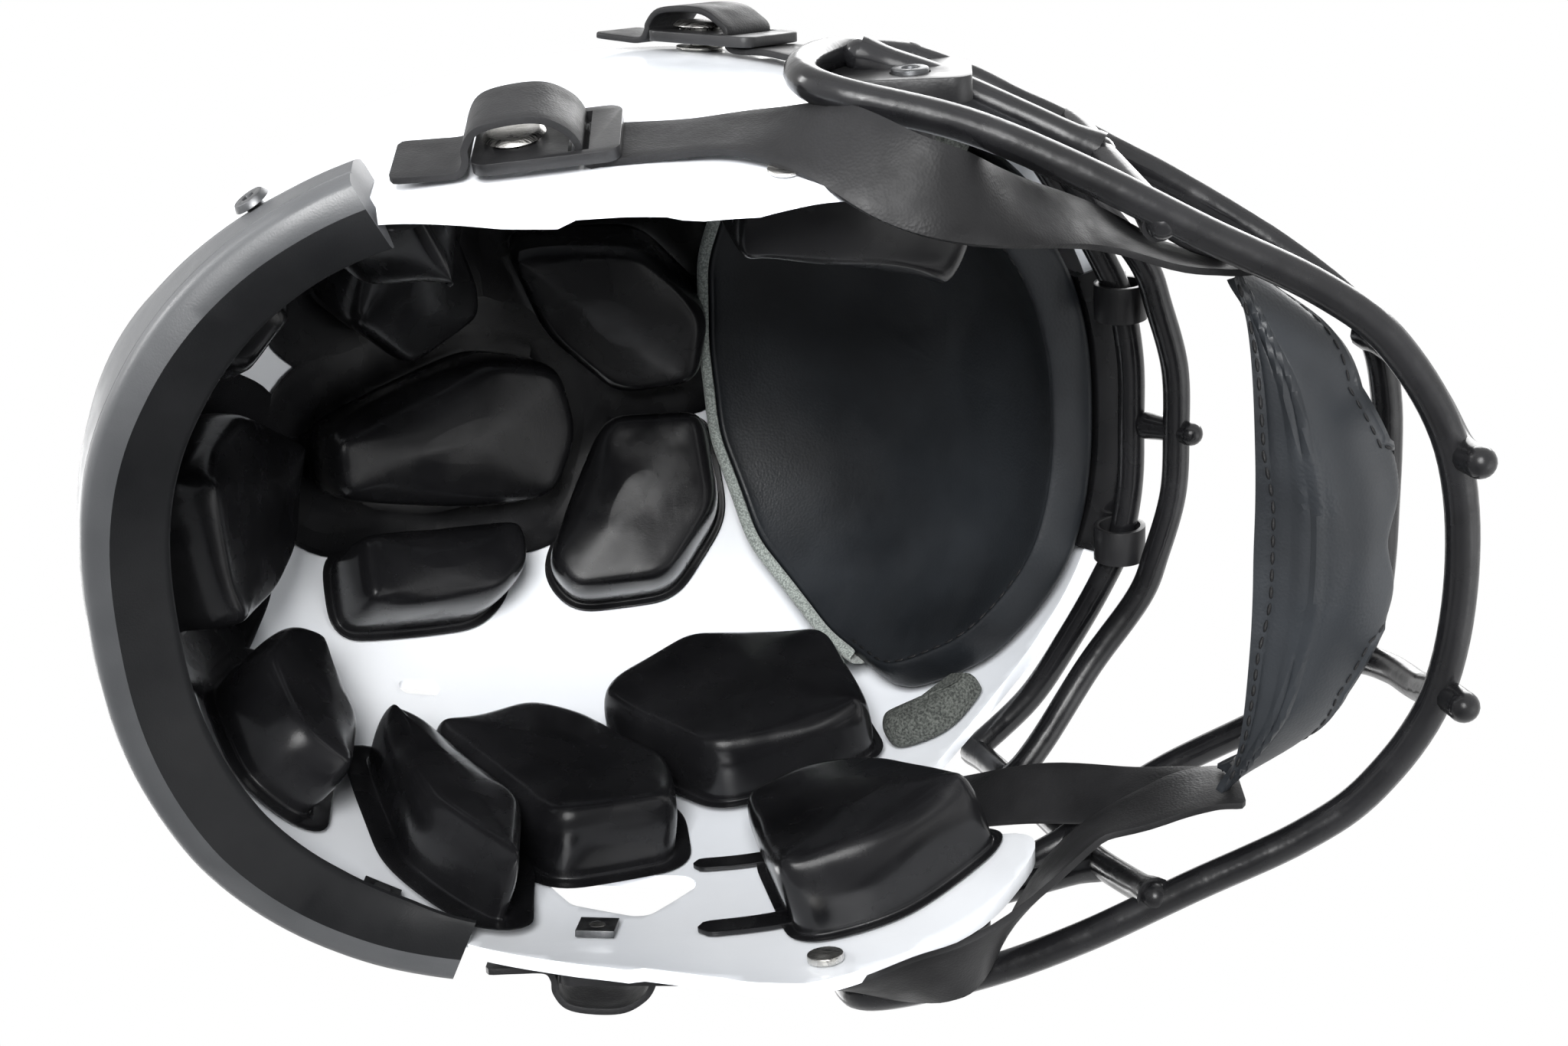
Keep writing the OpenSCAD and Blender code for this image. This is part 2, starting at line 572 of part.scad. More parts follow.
module front_bumper() {
    steps = 12;
    low = brow_edge_height - 2.2;
    lip = brow_edge_height - clear;
    top = brow_edge_height + 5.5;
    out = -clear - front_bumper_leg;
    inner_face = shell_wall + 2 * clear;
    in = inner_face + front_bumper_leg;
    outline = [
        [-clear, top], [out, top], [out, low], [in, low],
        [in, top - 1.5], [inner_face, top - 1.5], [inner_face, lip], [-clear, lip]];
    color("#0c0c0d")
    placed()
        lofted([for (i = [0:steps]) let (turn = front_bumper_half_angle * (2 * i / steps - 1))
            [for (v = outline) wall_point(turn, v[1], v[0])]]);
}

// sizes shared by the fixings
stud_shank = 2.4;
stud_flange = 7;
stud_post = 3;
stud_head = 4;
snap_shank = 1.8;
valve_stem = 3.6;
nut_size = 11;
nut_thickness = 2;
socket_radius = 6;
socket_face = side_clip_out - 11.5;
socket_length = 8;
pad_base = shell_wall + liner_gap;
front_pad_base = shell_wall + 2 * clear + front_bumper_leg + liner_gap;
nut_gap = liner_gap + 0.3;
raised_base = shell_wall + nut_gap + nut_thickness + snug;
function jaw_snap(side) = side_point(side, -52, 13.5);
function valve(side) = side > 0 ? on_shell([8, 140, 62], 0) : on_shell([-8, 140, 62], 0);

module pad(corners, side, base, thickness) {
    color("#111213")
    placed()
        cushion(sided(corners, side), base, thickness);
}
module front_pad() {
    color("#111213")
    placed()
        curved_cushion(both_sides(front_corners), front_pad_base, front_pad_thickness);
}
module front_foam() {
    color("#5b5f60")
    placed()
        for (side = [left, right])
            cushion(sided(foam_corners, side), pad_base, 11);
}
module crown_pad_front_left() { pad(crown_front_left_corners, left, pad_base, crown_pad_thickness); }
module crown_pad_front_right() { pad(crown_front_right_corners, left, pad_base, crown_pad_thickness); }
module crown_pad_centre() { pad(crown_centre_corners, left, pad_base, crown_pad_thickness); }
module crown_pad_rear_left() { pad(crown_rear_left_corners, left, pad_base, crown_pad_thickness); }
module crown_pad_rear_right() { pad(crown_rear_right_corners, left, pad_base, crown_pad_thickness); }
module rear_pad_centre() { pad(rear_centre_corners, left, pad_base, side_pad_thickness); }
module rear_pad_left() { pad(rear_left_corners, left, pad_base, side_pad_thickness); }
module rear_pad_right() { pad(rear_left_corners, right, pad_base, side_pad_thickness); }
module nape_pad_left() { pad(nape_corners, left, pad_base, side_pad_thickness); }
module nape_pad_right() { pad(nape_corners, right, pad_base, side_pad_thickness); }
module side_pad_rear_left() { pad(side_rear_corners, left, pad_base, side_pad_thickness); }
module side_pad_rear_right() { pad(side_rear_corners, right, pad_base, side_pad_thickness); }
module side_pad_front_left() { pad(side_front_corners, left, raised_base, side_pad_thickness); }
module side_pad_front_right() { pad(side_front_corners, right, raised_base, side_pad_thickness); }
module jaw_pad_left() { pad(jaw_corners, left, pad_base, jaw_pad_thickness); }
module jaw_pad_right() { pad(jaw_corners, right, pad_base, jaw_pad_thickness); }

// metal snaps under the jaw pads
module jaw_snaps() {
    color("silver")
    placed()
        for (side = [left, right])
            on_wall(jaw_snap(side), jaw_snap(side) + [0, 0, 50]) {
                translate([0, 0, 0.5])
                    cylinder(r = 4, h = 0.9);
                translate([0, 0, -shell_wall - nut_gap])
                    cylinder(r = snap_shank, h = shell_wall + nut_gap + 1);
                translate([0, 0, -shell_wall - nut_gap - 2])
                    cylinder(r = 5, h = 2);
            }
}

// band round the brow bar with a tab screwed to the shell
module brow_clips() {
    inner = bar_d / 2 + clip_play;
    outer = inner + clip_band;
    seat = 2 * clear + front_bumper_leg;
    color("#101010")
    placed()
        for (side = [left, right]) {
            tab_length = brow_screw(side)[2] - hinge[2] - outer + 3;
            difference() {
                union() {
                    translate([side * clip_offset, hinge[1], hinge[2]])
                        rotate([0, 90, 0])
                            cylinder(r = outer, h = clip_width, center = true);
                    on_wall(brow_screw(side), [side * clip_offset, hinge[1], hinge[2]])
                        translate([-clip_width / 2, -clip_width / 2, seat])
                            cube([clip_width, clip_width / 2 + tab_length, 2.4]);
                }
                translate([side * clip_offset, hinge[1], hinge[2]])
                    rotate([0, 90, 0])
                        cylinder(r = inner, h = 2 * clip_width, center = true);
                on_wall(brow_screw(side), [side * clip_offset, hinge[1], hinge[2]])
                    cylinder(r = stud_shank + 0.2, h = 20);
            }
        }
}
module brow_screws() {
    seat = 2 * clear + front_bumper_leg + 2.4;
    color("#8f9294")
    placed()
        for (side = [left, right])
            on_wall(brow_screw(side), [side * clip_offset, hinge[1], hinge[2]]) {
                translate([0, 0, seat + 0.05])
                    difference() {
                        cylinder(r = 4.6, h = 2.2);
                        translate([0, 0, 0.9])
                            cylinder(r = 2, h = 2, $fn = 6);
                    }
                translate([0, 0, -shell_wall - nut_gap - nut_thickness])
                    cylinder(r = stud_shank, h = shell_wall + nut_gap + nut_thickness + seat + 0.5);
            }
}

// posts for the four chin strap snaps
module strap_studs() {
    color("silver")
    placed()
        for (p = [lower_stud(left), lower_stud(right), upper_stud(left), upper_stud(right)])
            on_wall(p, p + [0, -50, 0]) {
                translate([0, 0, -shell_wall - nut_gap - nut_thickness])
                    cylinder(r = stud_shank, h = shell_wall + nut_gap + nut_thickness + 1);
                translate([0, 0, 0.1])
                    cylinder(r = stud_flange, h = 1);
                translate([0, 0, 1])
                    cylinder(r = stud_post, h = 5);
                translate([0, 0, 4.6])
                    cylinder(r = stud_head, h = 1.9);
            }
}
// square nuts inside the shell, one for each stud and screw
module stud_nuts() {
    color("#3c3e40")
    placed()
        for (p = [lower_stud(left), lower_stud(right), upper_stud(left), upper_stud(right),
                brow_screw(left), brow_screw(right), bumper_screw(left), bumper_screw(right)])
            on_wall(p, p + [0, 0, 50])
                translate([0, 0, -shell_wall - nut_gap - nut_thickness])
                    difference() {
                        translate([-nut_size / 2, -nut_size / 2, 0])
                            cube([nut_size, nut_size, nut_thickness]);
                        translate([0, 0, -1])
                            cylinder(r = stud_shank + 0.05, h = nut_thickness + 2);
                    }
}

// buckle plate: snap hole, then the slot the strap turns through
module buckle() {
    round = 4;
    translate([0, 0, buckle_floor])
        difference() {
            linear_extrude(buckle_thickness) {
                translate([-buckle_width / 2 + round, -buckle_nose + round])
                    square([buckle_width - 2 * round, buckle_length - 2 * round]);
                translate([-buckle_width / 2, -buckle_nose + round])
                    square([buckle_width, buckle_length - 2 * round]);
                translate([-buckle_width / 2 + round, -buckle_nose])
                    square([buckle_width - 2 * round, buckle_length]);
                for (x = [-1, 1])
                    for (y = [round - buckle_nose, buckle_length - buckle_nose - round])
                        translate([x * (buckle_width / 2 - round), y])
                            circle(r = round);
            }
            translate([0, 0, -1])
                cylinder(r = 6, h = buckle_thickness + 2);
            translate([-(strap_width + 1.2) / 2, slot_near, -1])
                cube([strap_width + 1.2, slot_far - slot_near, buckle_thickness + 2]);
        }
}
module upper_buckles() {
    color("#141415")
    placed()
        for (side = [left, right])
            on_wall(upper_stud(side), side_point(side, -60, 119))
                buckle();
}
module lower_buckles() {
    color("#141415")
    placed()
        for (side = [left, right])
            on_wall(lower_stud(side), side_point(side, -40, 36))
                buckle();
}
// metal caps that press onto the studs
module snap_caps() {
    top = buckle_floor + buckle_thickness + 0.9;
    color("silver")
    placed()
        for (p = [lower_stud(left), lower_stud(right), upper_stud(left), upper_stud(right)])
            on_wall(p, p + [0, -50, 0]) {
                translate([0, 0, top])
                    cylinder(r1 = snap_cap_radius, r2 = snap_cap_radius - 1.4, h = 1.4);
                translate([0, 0, buckle_floor])
                    difference() {
                        cylinder(r = 5.6, h = top - buckle_floor + 0.2);
                        translate([0, 0, -1])
                            cylinder(r = stud_head + 0.3, h = top - buckle_floor + 1);
                    }
            }
}

module upper_strap(side) {
    f = upper_frame(side);
    wall = [for (v = [[-46, 127.5], [-58, 120.5], [-68, 114]])
        side_point(side, v[0], v[1], -strap_under - 1.8)];
    free = sided([
        [106, -88, 101], [95, -112, 86], [87, -136, 69.5], [79.6, -153, 58.5], [78.2, -162, 55]], side);
    path = concat(turned(f, upper_arch), wall, free);
    faces = concat(turned_faces(f), [for (p = wall) outward(p)], sided([
        [0.9, -0.35, 0.2], [0.87, -0.4, 0.3], [0.9, -0.4, 0.15], [0.95, -0.3, 0], [1, 0, 0]], side));
    color("#1b1c1d")
    placed()
        band(curve(path, 2), curve(faces, 2), strap_width, strap_thickness);
}
module lower_strap(side) {
    f = lower_frame(side);
    wall = [for (v = [[-26, 35], [-44, 37.5], [-62, 39.5], [-80, 41], [-96, 43.5]])
        side_point(side, v[0], v[1], -strap_under)];
    free = sided([[88.5, -123, 46.5], [78.6, -144, 49], [75.5, -157, 51.5], [75.4, -167, 52]], side);
    path = concat(turned(f, lower_arch), wall, free);
    faces = concat(turned_faces(f), [for (p = wall) outward(p)], sided([
        [0.9, -0.4, 0], [0.92, -0.4, 0], [1, 0, 0], [1, 0, 0]], side));
    color("#1b1c1d")
    placed()
        band(curve(path, 2), curve(faces, 2), strap_width, strap_thickness);
}
module upper_strap_left() { upper_strap(left); }
module upper_strap_right() { upper_strap(right); }
module lower_strap_left() { lower_strap(left); }
module lower_strap_right() { lower_strap(right); }

// inflation valves in the back of the shell, each with a blind needle hole
module valves() {
    color("#17181a")
    placed()
        for (side = [left, right])
            on_wall(valve(side), valve(side) + [0, 0, 50])
                difference() {
                    union() {
                        translate([0, 0, 0.6])
                            cylinder(r = valve_stem + 1.2, h = 1);
                        translate([0, 0, -shell_wall - 6])
                            cylinder(r = valve_stem, h = shell_wall + 7);
                    }
                    translate([0, 0, 1.6 - valve_bore_depth])
                        cylinder(r = valve_bore_radius, h = valve_bore_depth + 1);
                }
}

// face mask bars
module wire(path, d = bar_d) {
    color("#0d0d0e")
    placed()
        bar(path, d);
}
module brow_bar() { wire(curve(both_sides(brow_bar_bends), 2)); }
module second_bar() { wire(curve(both_sides(second_bar_bends), 2)); }
module middle_bar() { wire(curve(both_sides(middle_bar_bends), 2)); }
module chin_bar() { wire(curve(both_sides(chin_bar_bends), 3), chin_bar_d); }
module side_strut_left() { wire(curve(side_strut_bends, 3)); }
module side_strut_right() { wire(curve(mirrored(side_strut_bends), 3)); }
module side_rail_left() { wire(curve(side_rail_bends, 3)); }
module side_rail_right() { wire(curve(mirrored(side_rail_bends), 3)); }
module front_strut_left() { wire(curve(front_strut_bends, 2)); }
module front_strut_right() { wire(curve(mirrored(front_strut_bends), 2)); }
module centre_strut() { wire(curve(centre_strut_bends, 2), bar_d - 1); }

// quick-release clips on the side loops
module side_clip(side) {
    thickness = 6.5;
    corners = [[-92, 70], [-86, 79], [-73, 80], [-65, 72], [-65, 55], [-72, 54], [-92, 54]];
    color("#131314")
    placed()
        difference() {
            hull()
                for (c = corners)
                    translate([side * (side_clip_out - thickness / 2), c[0], c[1]])
                        rotate([0, 90, 0])
                            cylinder(r = 5, h = thickness, center = true, $fn = 32);
            translate([side * side_clip_out, side_clip_reach, side_clip_height])
                rotate([0, 90, 0])
                    cylinder(r = button_radius + button_play, h = 4 * thickness, center = true);
        }
}
module side_clip_left() { side_clip(left); }
module side_clip_right() { side_clip(right); }

// sockets in the shell that the release buttons press into
module clip_sockets() {
    color("#202122")
    placed()
        for (side = [left, right])
            translate([side * socket_face, side_clip_reach, side_clip_height])
                rotate([0, -90 * side, 0])
                    difference() {
                        cylinder(r = socket_radius, h = socket_length);
                        translate([0, 0, -1])
                            cylinder(r = button_radius + button_play, h = button_travel + 3);
                    }
}
module release_button(side) {
    tip = socket_face + 0.3;
    length = side_clip_out + 1.2 - tip;
    color("#2a2b2c")
    placed()
        translate([side * (tip + length / 2), side_clip_reach, side_clip_height])
            rotate([0, 90, 0])
                difference() {
                    cylinder(r = button_radius, h = length, center = true);
                    translate([0, 0, side * (length / 2 - 2)])
                        cylinder(r = 2.2, h = 6, center = true);
                }
}
module release_button_left() { release_button(left); }
module release_button_right() { release_button(right); }

// chin cup between its four edges
cup_grid = let (
        rows = [for (e = [cup_rear_edge, cup_belly, cup_front, cup_top_edge]) curve(both_sides(e), 2)])
    [for (i = [0:len(rows[0]) - 1]) curve([for (r = rows) r[i]], 3)];
liner_top = -cup_thickness - liner_play;
cup_out = [for (i = [0:len(cup_grid) - 1]) [for (k = [0:len(cup_grid[0]) - 1]) grid_out(cup_grid, i, k)]];
function inside(g) = [for (i = [1:len(g) - 2]) [for (k = [1:len(g[0]) - 2]) g[i][k]]];
module chin_cup() {
    color("#161718")
    placed()
        sheet(cup_grid, cup_out, 0, -cup_thickness);
}
module cup_liner() {
    color("#2b2c2e")
    placed()
        sheet(inside(cup_grid), inside(cup_out), liner_top, liner_top - liner_thickness);
}

shell();
rear_bumper();
front_bumper();
front_pad();
front_foam();
crown_pad_front_left();
crown_pad_front_right();
crown_pad_centre();
crown_pad_rear_left();
crown_pad_rear_right();
rear_pad_centre();
rear_pad_left();
rear_pad_right();
nape_pad_left();
nape_pad_right();
side_pad_rear_left();
side_pad_rear_right();
side_pad_front_left();
side_pad_front_right();
jaw_pad_left();
jaw_pad_right();
jaw_snaps();
brow_clips();
brow_screws();
strap_studs();
stud_nuts();
clip_sockets();
upper_buckles();
lower_buckles();
snap_caps();
upper_strap_left();
upper_strap_right();
lower_strap_left();
lower_strap_right();
valves();
bumper_screws();
brow_bar();
second_bar();
middle_bar();
chin_bar();
side_strut_left();
side_strut_right();
side_rail_left();
side_rail_right();
front_strut_left();
front_strut_right();
centre_strut();
side_clip_left();
side_clip_right();
release_button_left();
release_button_right();
chin_cup();
cup_liner();
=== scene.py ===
import math

import bpy
from mathutils import Matrix, Vector


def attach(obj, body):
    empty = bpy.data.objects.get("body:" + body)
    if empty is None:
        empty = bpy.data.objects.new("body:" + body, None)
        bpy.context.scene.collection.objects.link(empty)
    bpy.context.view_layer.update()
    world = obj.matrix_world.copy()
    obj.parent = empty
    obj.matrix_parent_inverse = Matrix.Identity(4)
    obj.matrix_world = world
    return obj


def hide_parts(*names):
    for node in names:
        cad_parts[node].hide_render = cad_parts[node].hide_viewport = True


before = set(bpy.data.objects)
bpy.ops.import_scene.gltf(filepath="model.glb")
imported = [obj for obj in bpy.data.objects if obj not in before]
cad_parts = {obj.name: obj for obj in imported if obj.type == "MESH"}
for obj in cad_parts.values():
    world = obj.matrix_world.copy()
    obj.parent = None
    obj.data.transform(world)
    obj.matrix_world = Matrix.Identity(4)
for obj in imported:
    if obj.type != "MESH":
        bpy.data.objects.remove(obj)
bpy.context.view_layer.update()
bpy.ops.object.select_all(action="DESELECT")

# Shell: one injection moulded polycarbonate form with a 4 mm wall. It starts as a subdivided cube whose
# points are pushed out to the shell's surface; the face opening, ear holes and vents are then cut from it.
SHELL_HALF_WIDTH = 120.5
SHELL_CENTRE = 120.5
SHELL_WALL = 4.0
SHELL_FULLNESS = 2.35
SHELL_SHIFT = 34.55
SHELL_PROFILE = [
    (-2.5, 146), (27.5, 147), (57.5, 145), (87.5, 140), (117.5, 144), (147.5, 149), (177.5, 152),
    (207.5, 157), (223.5, 170), (244.5, 198), (267.5, 204), (282.5, 226), (297.5, 248), (309.5, 226),
    (321.5, 192), (339.5, 158)]


def eased(a, b, ma, mb, t):
    return ((2 * t**3 - 3 * t * t + 1) * a + (t**3 - 2 * t * t + t) * ma
            + (3 * t * t - 2 * t**3) * b + (t**3 - t * t) * mb)


def profile_knot(i):
    n = len(SHELL_PROFILE)
    return SHELL_PROFILE[i % n][0] + 360 * (i // n), SHELL_PROFILE[i % n][1]


def profile_slope(i):
    (a0, r0), (a1, r1) = profile_knot(i - 1), profile_knot(i + 1)
    return (r1 - r0) / (a1 - a0)


def side_radius(angle):
    a = angle - 360 * math.floor((angle - SHELL_PROFILE[0][0]) / 360)
    i = sum(1 for p in SHELL_PROFILE if p[0] <= a) - 1
    (a0, r0), (a1, r1) = profile_knot(i), profile_knot(i + 1)
    h = a1 - a0
    return eased(r0, r1, profile_slope(i) * h, profile_slope(i + 1) * h, (a - a0) / h)


def fullness(x, y, z, depth=0.0):
    side = side_radius(math.degrees(math.atan2(z, -y)))
    return ((math.hypot(y, z) / (side - depth)) ** SHELL_FULLNESS
            + (abs(x) / (SHELL_HALF_WIDTH - depth)) ** SHELL_FULLNESS)


def on_shell(p, depth=0.0):
    x, y, z = p[0], p[1], p[2] - SHELL_CENTRE
    k = fullness(x, y, z, depth) ** (-1 / SHELL_FULLNESS)
    return Vector((x * k, y * k, SHELL_CENTRE + z * k))


def shell_out(p):
    x, y, z, e = p[0], p[1], p[2] - SHELL_CENTRE, 0.5
    beside = fullness(x + e, y, z), fullness(x, y + e, z), fullness(x, y, z + e)
    return Vector([f - fullness(x, y, z) for f in beside]).normalized()


def side_point(side, y, z, depth=0.0):
    d = z - SHELL_CENTRE
    q = (math.hypot(y, d) / (side_radius(math.degrees(math.atan2(d, -y))) - depth)) ** SHELL_FULLNESS
    return Vector((side * (SHELL_HALF_WIDTH - depth) * (1 - q) ** (1 / SHELL_FULLNESS), y, z))


def reach(turn, z, depth=0.0):
    r, t = 120.0, math.radians(turn)
    for _ in range(12):
        r *= fullness(r * math.sin(t), -r * math.cos(t), z - SHELL_CENTRE, depth) ** (-1 / SHELL_FULLNESS)
    return r


def placed(p):
    return Vector((p[0], p[1] + SHELL_SHIFT, p[2])) / 1000


def smooth_line(points, n, closed=False):
    pts = [Vector(p) for p in points]
    m = len(pts)
    at = (lambda i: pts[i % m]) if closed else (lambda i: pts[min(max(i, 0), m - 1)])
    line = []
    for i in range(m if closed else m - 1):
        for k in range(n):
            line.append(eased(at(i), at(i + 1), (at(i + 1) - at(i - 1)) / 2, (at(i + 2) - at(i)) / 2, k / n))
    return line if closed else line + [pts[-1]]


def active(obj):
    bpy.ops.object.select_all(action="DESELECT")
    obj.select_set(True)
    bpy.context.view_layer.objects.active = obj
    return obj


def with_modifier(obj, kind, **settings):
    active(obj)
    m = obj.modifiers.new(kind.title(), kind)
    for key, value in settings.items():
        setattr(m, key, value)
    bpy.ops.object.modifier_apply(modifier=m.name)
    return obj


def edit(obj, *steps):
    active(obj)
    bpy.ops.object.mode_set(mode="EDIT")
    pick_all()
    for step in steps:
        step()
    bpy.ops.object.mode_set(mode="OBJECT")
    return obj


def outward():
    bpy.ops.mesh.normals_make_consistent(inside=False)


def pick_all():
    bpy.ops.mesh.select_all(action="SELECT")


def pick_none():
    bpy.ops.mesh.select_all(action="DESELECT")


def merge_doubles():
    bpy.ops.mesh.remove_doubles(threshold=1e-6)


def rounded(obj, width, segments, degrees):
    return with_modifier(obj, "BEVEL", width=width, segments=segments, limit_method="ANGLE",
                         angle_limit=math.radians(degrees))


def smoothed(obj, degrees):
    active(obj)
    bpy.ops.object.shade_smooth_by_angle(angle=math.radians(degrees))
    return obj


def outline_block(outline, x0, x1):
    bpy.ops.mesh.primitive_circle_add(vertices=len(outline), radius=1, fill_type="NGON")
    block = bpy.context.object
    for v, p in zip(block.data.vertices, outline):
        v.co = placed((x0, p[0], p[1]))
    edit(block, lambda: bpy.ops.mesh.extrude_region_move(
        TRANSFORM_OT_translate={"value": ((x1 - x0) / 1000, 0, 0)}),
        pick_all, outward)
    return block


def cut_away(obj, cutter):
    with_modifier(obj, "BOOLEAN", operation="DIFFERENCE", solver="EXACT", object=cutter)
    bpy.data.objects.remove(cutter, do_unlink=True)
    return obj


bpy.ops.mesh.primitive_cube_add(size=0.2)
shell = bpy.context.object
shell.name = shell.data.name = "helmet_shell"
edit(shell, lambda: bpy.ops.mesh.subdivide(number_cuts=55))
for v in shell.data.vertices:
    n = [math.tan(c * 10 * math.pi / 4) for c in v.co]
    v.co = placed(on_shell(Vector(n) + Vector((0, 0, SHELL_CENTRE))))
with_modifier(shell, "SOLIDIFY", thickness=SHELL_WALL / 1000, offset=-1)
BROW_EDGE = [(-300, 156.4), (-131, 156.3)]
FACE_EDGE = [(-117, 152), (-101, 141), (-83, 120), (-74, 100), (-77, 84), (-88, 70.5), (-101.5, 58),
             (-108, 49), (-109.5, 40), (-104.5, 31), (-94.5, 21.5), (-77, 15), (-65, 9.5), (-55, 4), (-47, 0)]
JAW_EDGE = [(-34, 0), (-29, 1.2), (-25, 3.2), (-15, 5.3), (-3, 7), (1, 4.2), (15, 7), (25, 10.2),
            (35, 13.3), (47, 17)]
TRAY_EDGE = [(47.5, 24.7), (60, 21.5), (70, 18.6), (80, 16.1), (90, 13.1), (100, 10), (108, 7.5), (160, 7.5)]
BELOW = [(300, 7.5), (300, -300), (-300, -300)]
face_line = [(p[0], p[1]) for p in smooth_line([(*p, 0) for p in FACE_EDGE], 3)]
shell_outline = BROW_EDGE + face_line + JAW_EDGE + TRAY_EDGE + BELOW
cut_away(shell, outline_block(shell_outline, -200, 200))
EAR_CORNERS = [(-4, 69), (29, 70), (21, 59), (5, 53)]
EAR_RADIUS = 6
CORNER_STEPS = 6
ear_outline = []
for i, c in enumerate(EAR_CORNERS):
    before, after = Vector(EAR_CORNERS[i - 1]) - Vector(c), Vector(EAR_CORNERS[(i + 1) % 4]) - Vector(c)
    start, end = math.atan2(-before.x, before.y), math.atan2(after.x, -after.y)
    turn = (end - start) % (2 * math.pi)
    turn = turn - 2 * math.pi if turn > math.pi else turn
    for k in range(CORNER_STEPS + 1):
        at = start + turn * k / CORNER_STEPS
        ear_outline.append((c[0] + EAR_RADIUS * math.cos(at), c[1] + EAR_RADIUS * math.sin(at)))
EAR_CUT = (90, 150)
for side in (1, -1):
    cut_away(shell, outline_block(ear_outline, side * EAR_CUT[0], side * EAR_CUT[1]))


def wall_axes(p, toward):
    q = on_shell(p)
    n = shell_out(q)
    y = Vector(toward) - q
    y = (y - n * y.dot(n)).normalized()
    return q, y.cross(n), y, n


def seated(axes, v):
    q, x, y, n = axes
    return placed(q + x * v[0] + y * v[1] + n * v[2])


# each vent: its middle, a point that it runs toward, its length and its width
VENTS = (((38, 26, 250), (38, 60, 245), 26, 8), ((90, 88, 160), (95, 60, 175), 14.3, 6),
         ((25, 138, 70), (27, 138, 120), 26, 8))
for spot, toward, length, width in VENTS:
    for side in (1, -1):
        axes = wall_axes((side * spot[0], *spot[1:]), (side * toward[0], *toward[1:]))
        bpy.ops.mesh.primitive_cylinder_add(vertices=32, radius=width / 2, depth=14)
        slot = bpy.context.object
        for v in slot.data.vertices:
            v.co = seated(axes, (v.co.x, v.co.y + math.copysign((length - width) / 2, v.co.y), v.co.z - 2))
        edit(slot, outward)
        cut_away(shell, slot)
rounded(shell, 0.0011, 3, 40)
smoothed(shell, 30)


def new_material(name, colour, roughness, **inputs):
    m = bpy.data.materials.new(name)
    m.use_nodes = True
    shader = m.node_tree.nodes["Principled BSDF"]
    shader.inputs["Base Color"].default_value = (*colour, 1)
    shader.inputs["Roughness"].default_value = roughness
    for key, value in inputs.items():
        shader.inputs[key.replace("_", " ")].default_value = value
    return m, m.node_tree, shader


def on_object(tree):
    return tree.nodes.new("ShaderNodeTexCoord").outputs["Object"]


def noise_at(tree, scale, detail, vector=None):
    n = tree.nodes.new("ShaderNodeTexNoise")
    n.inputs["Scale"].default_value = scale
    n.inputs["Detail"].default_value = detail
    tree.links.new(on_object(tree) if vector is None else vector, n.inputs["Vector"])
    return n


def cells_at(tree, scale):
    n = tree.nodes.new("ShaderNodeTexVoronoi")
    n.inputs["Scale"].default_value = scale
    tree.links.new(on_object(tree), n.inputs["Vector"])
    return n


def roughened(tree, shader, value, low, high, start=0.35, end=0.65):
    r = tree.nodes.new("ShaderNodeMapRange")
    for key, number in (("From Min", start), ("From Max", end), ("To Min", low), ("To Max", high)):
        r.inputs[key].default_value = number
    tree.links.new(value, r.inputs["Value"])
    tree.links.new(r.outputs["Result"], shader.inputs["Roughness"])


def coloured(tree, shader, value, dark, pale, start=0.35, end=0.65):
    ramp = tree.nodes.new("ShaderNodeValToRGB")
    ramp.color_ramp.elements[0].position, ramp.color_ramp.elements[1].position = start, end
    ramp.color_ramp.elements[0].color, ramp.color_ramp.elements[1].color = (*dark, 1), (*pale, 1)
    tree.links.new(value, ramp.inputs["Fac"])
    tree.links.new(ramp.outputs["Color"], shader.inputs["Base Color"])


def raised(tree, shader, height, strength, distance, under=None):
    b = tree.nodes.new("ShaderNodeBump")
    b.inputs["Strength"].default_value = strength
    b.inputs["Distance"].default_value = distance
    tree.links.new(height, b.inputs["Height"])
    if under is not None:
        tree.links.new(under.outputs["Normal"], b.inputs["Normal"])
    tree.links.new(b.outputs["Normal"], shader.inputs["Normal"])
    return b


def finish_of(obj, material):
    obj.data.materials.clear()
    obj.data.materials.append(material)
    return obj


shell_paint, tree, shader = new_material("white_moulded_shell", (0.86, 0.885, 0.92), 0.18, Coat_Weight=0.5,
                                         Coat_Roughness=0.06)
coloured(tree, shader, noise_at(tree, 9, 3).outputs["Fac"], (0.83, 0.86, 0.905), (0.885, 0.905, 0.935))
roughened(tree, shader, noise_at(tree, 38, 6).outputs["Fac"], 0.14, 0.27)
ripple = raised(tree, shader, noise_at(tree, 160, 2).outputs["Fac"], 0.12, 0.0003)
raised(tree, shader, noise_at(tree, 900, 2).outputs["Fac"], 0.06, 0.0001, ripple)
finish_of(shell, shell_paint)
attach(shell, "helmet")
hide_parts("shell")

# Rear bumper: a moulded rubber channel that grips the shell's rear edge, with a flat flange turned in
# under it. Its section is drawn at many places round the edge and the sections are joined into one form.
BUMPER_OUT = 8.0
FLANGE_WIDTH = 19.5
FLANGE_THICK = 2.5
BUMPER_BOTTOM = [(50, 16.4), (60, 14), (70, 11.1), (80, 8.6), (90, 5.6), (100, 2.5), (108, 0), (160, 0)]
BUMPER_TOP = [(50, 33), (70, 30), (99, 31), (115, 40), (128, 47), (160, 48)]
FLANGE_RISE = [(50, 1), (60, 3), (72, 7), (90, 9), (110, 9.5), (160, 10)]


def looked_up(x, steps):
    if x <= steps[0][0]:
        return steps[0][1]
    for (a, b), (c, d) in zip(steps, steps[1:]):
        if x <= c:
            return b + (d - b) * (x - a) / (c - a)
    return steps[-1][1]


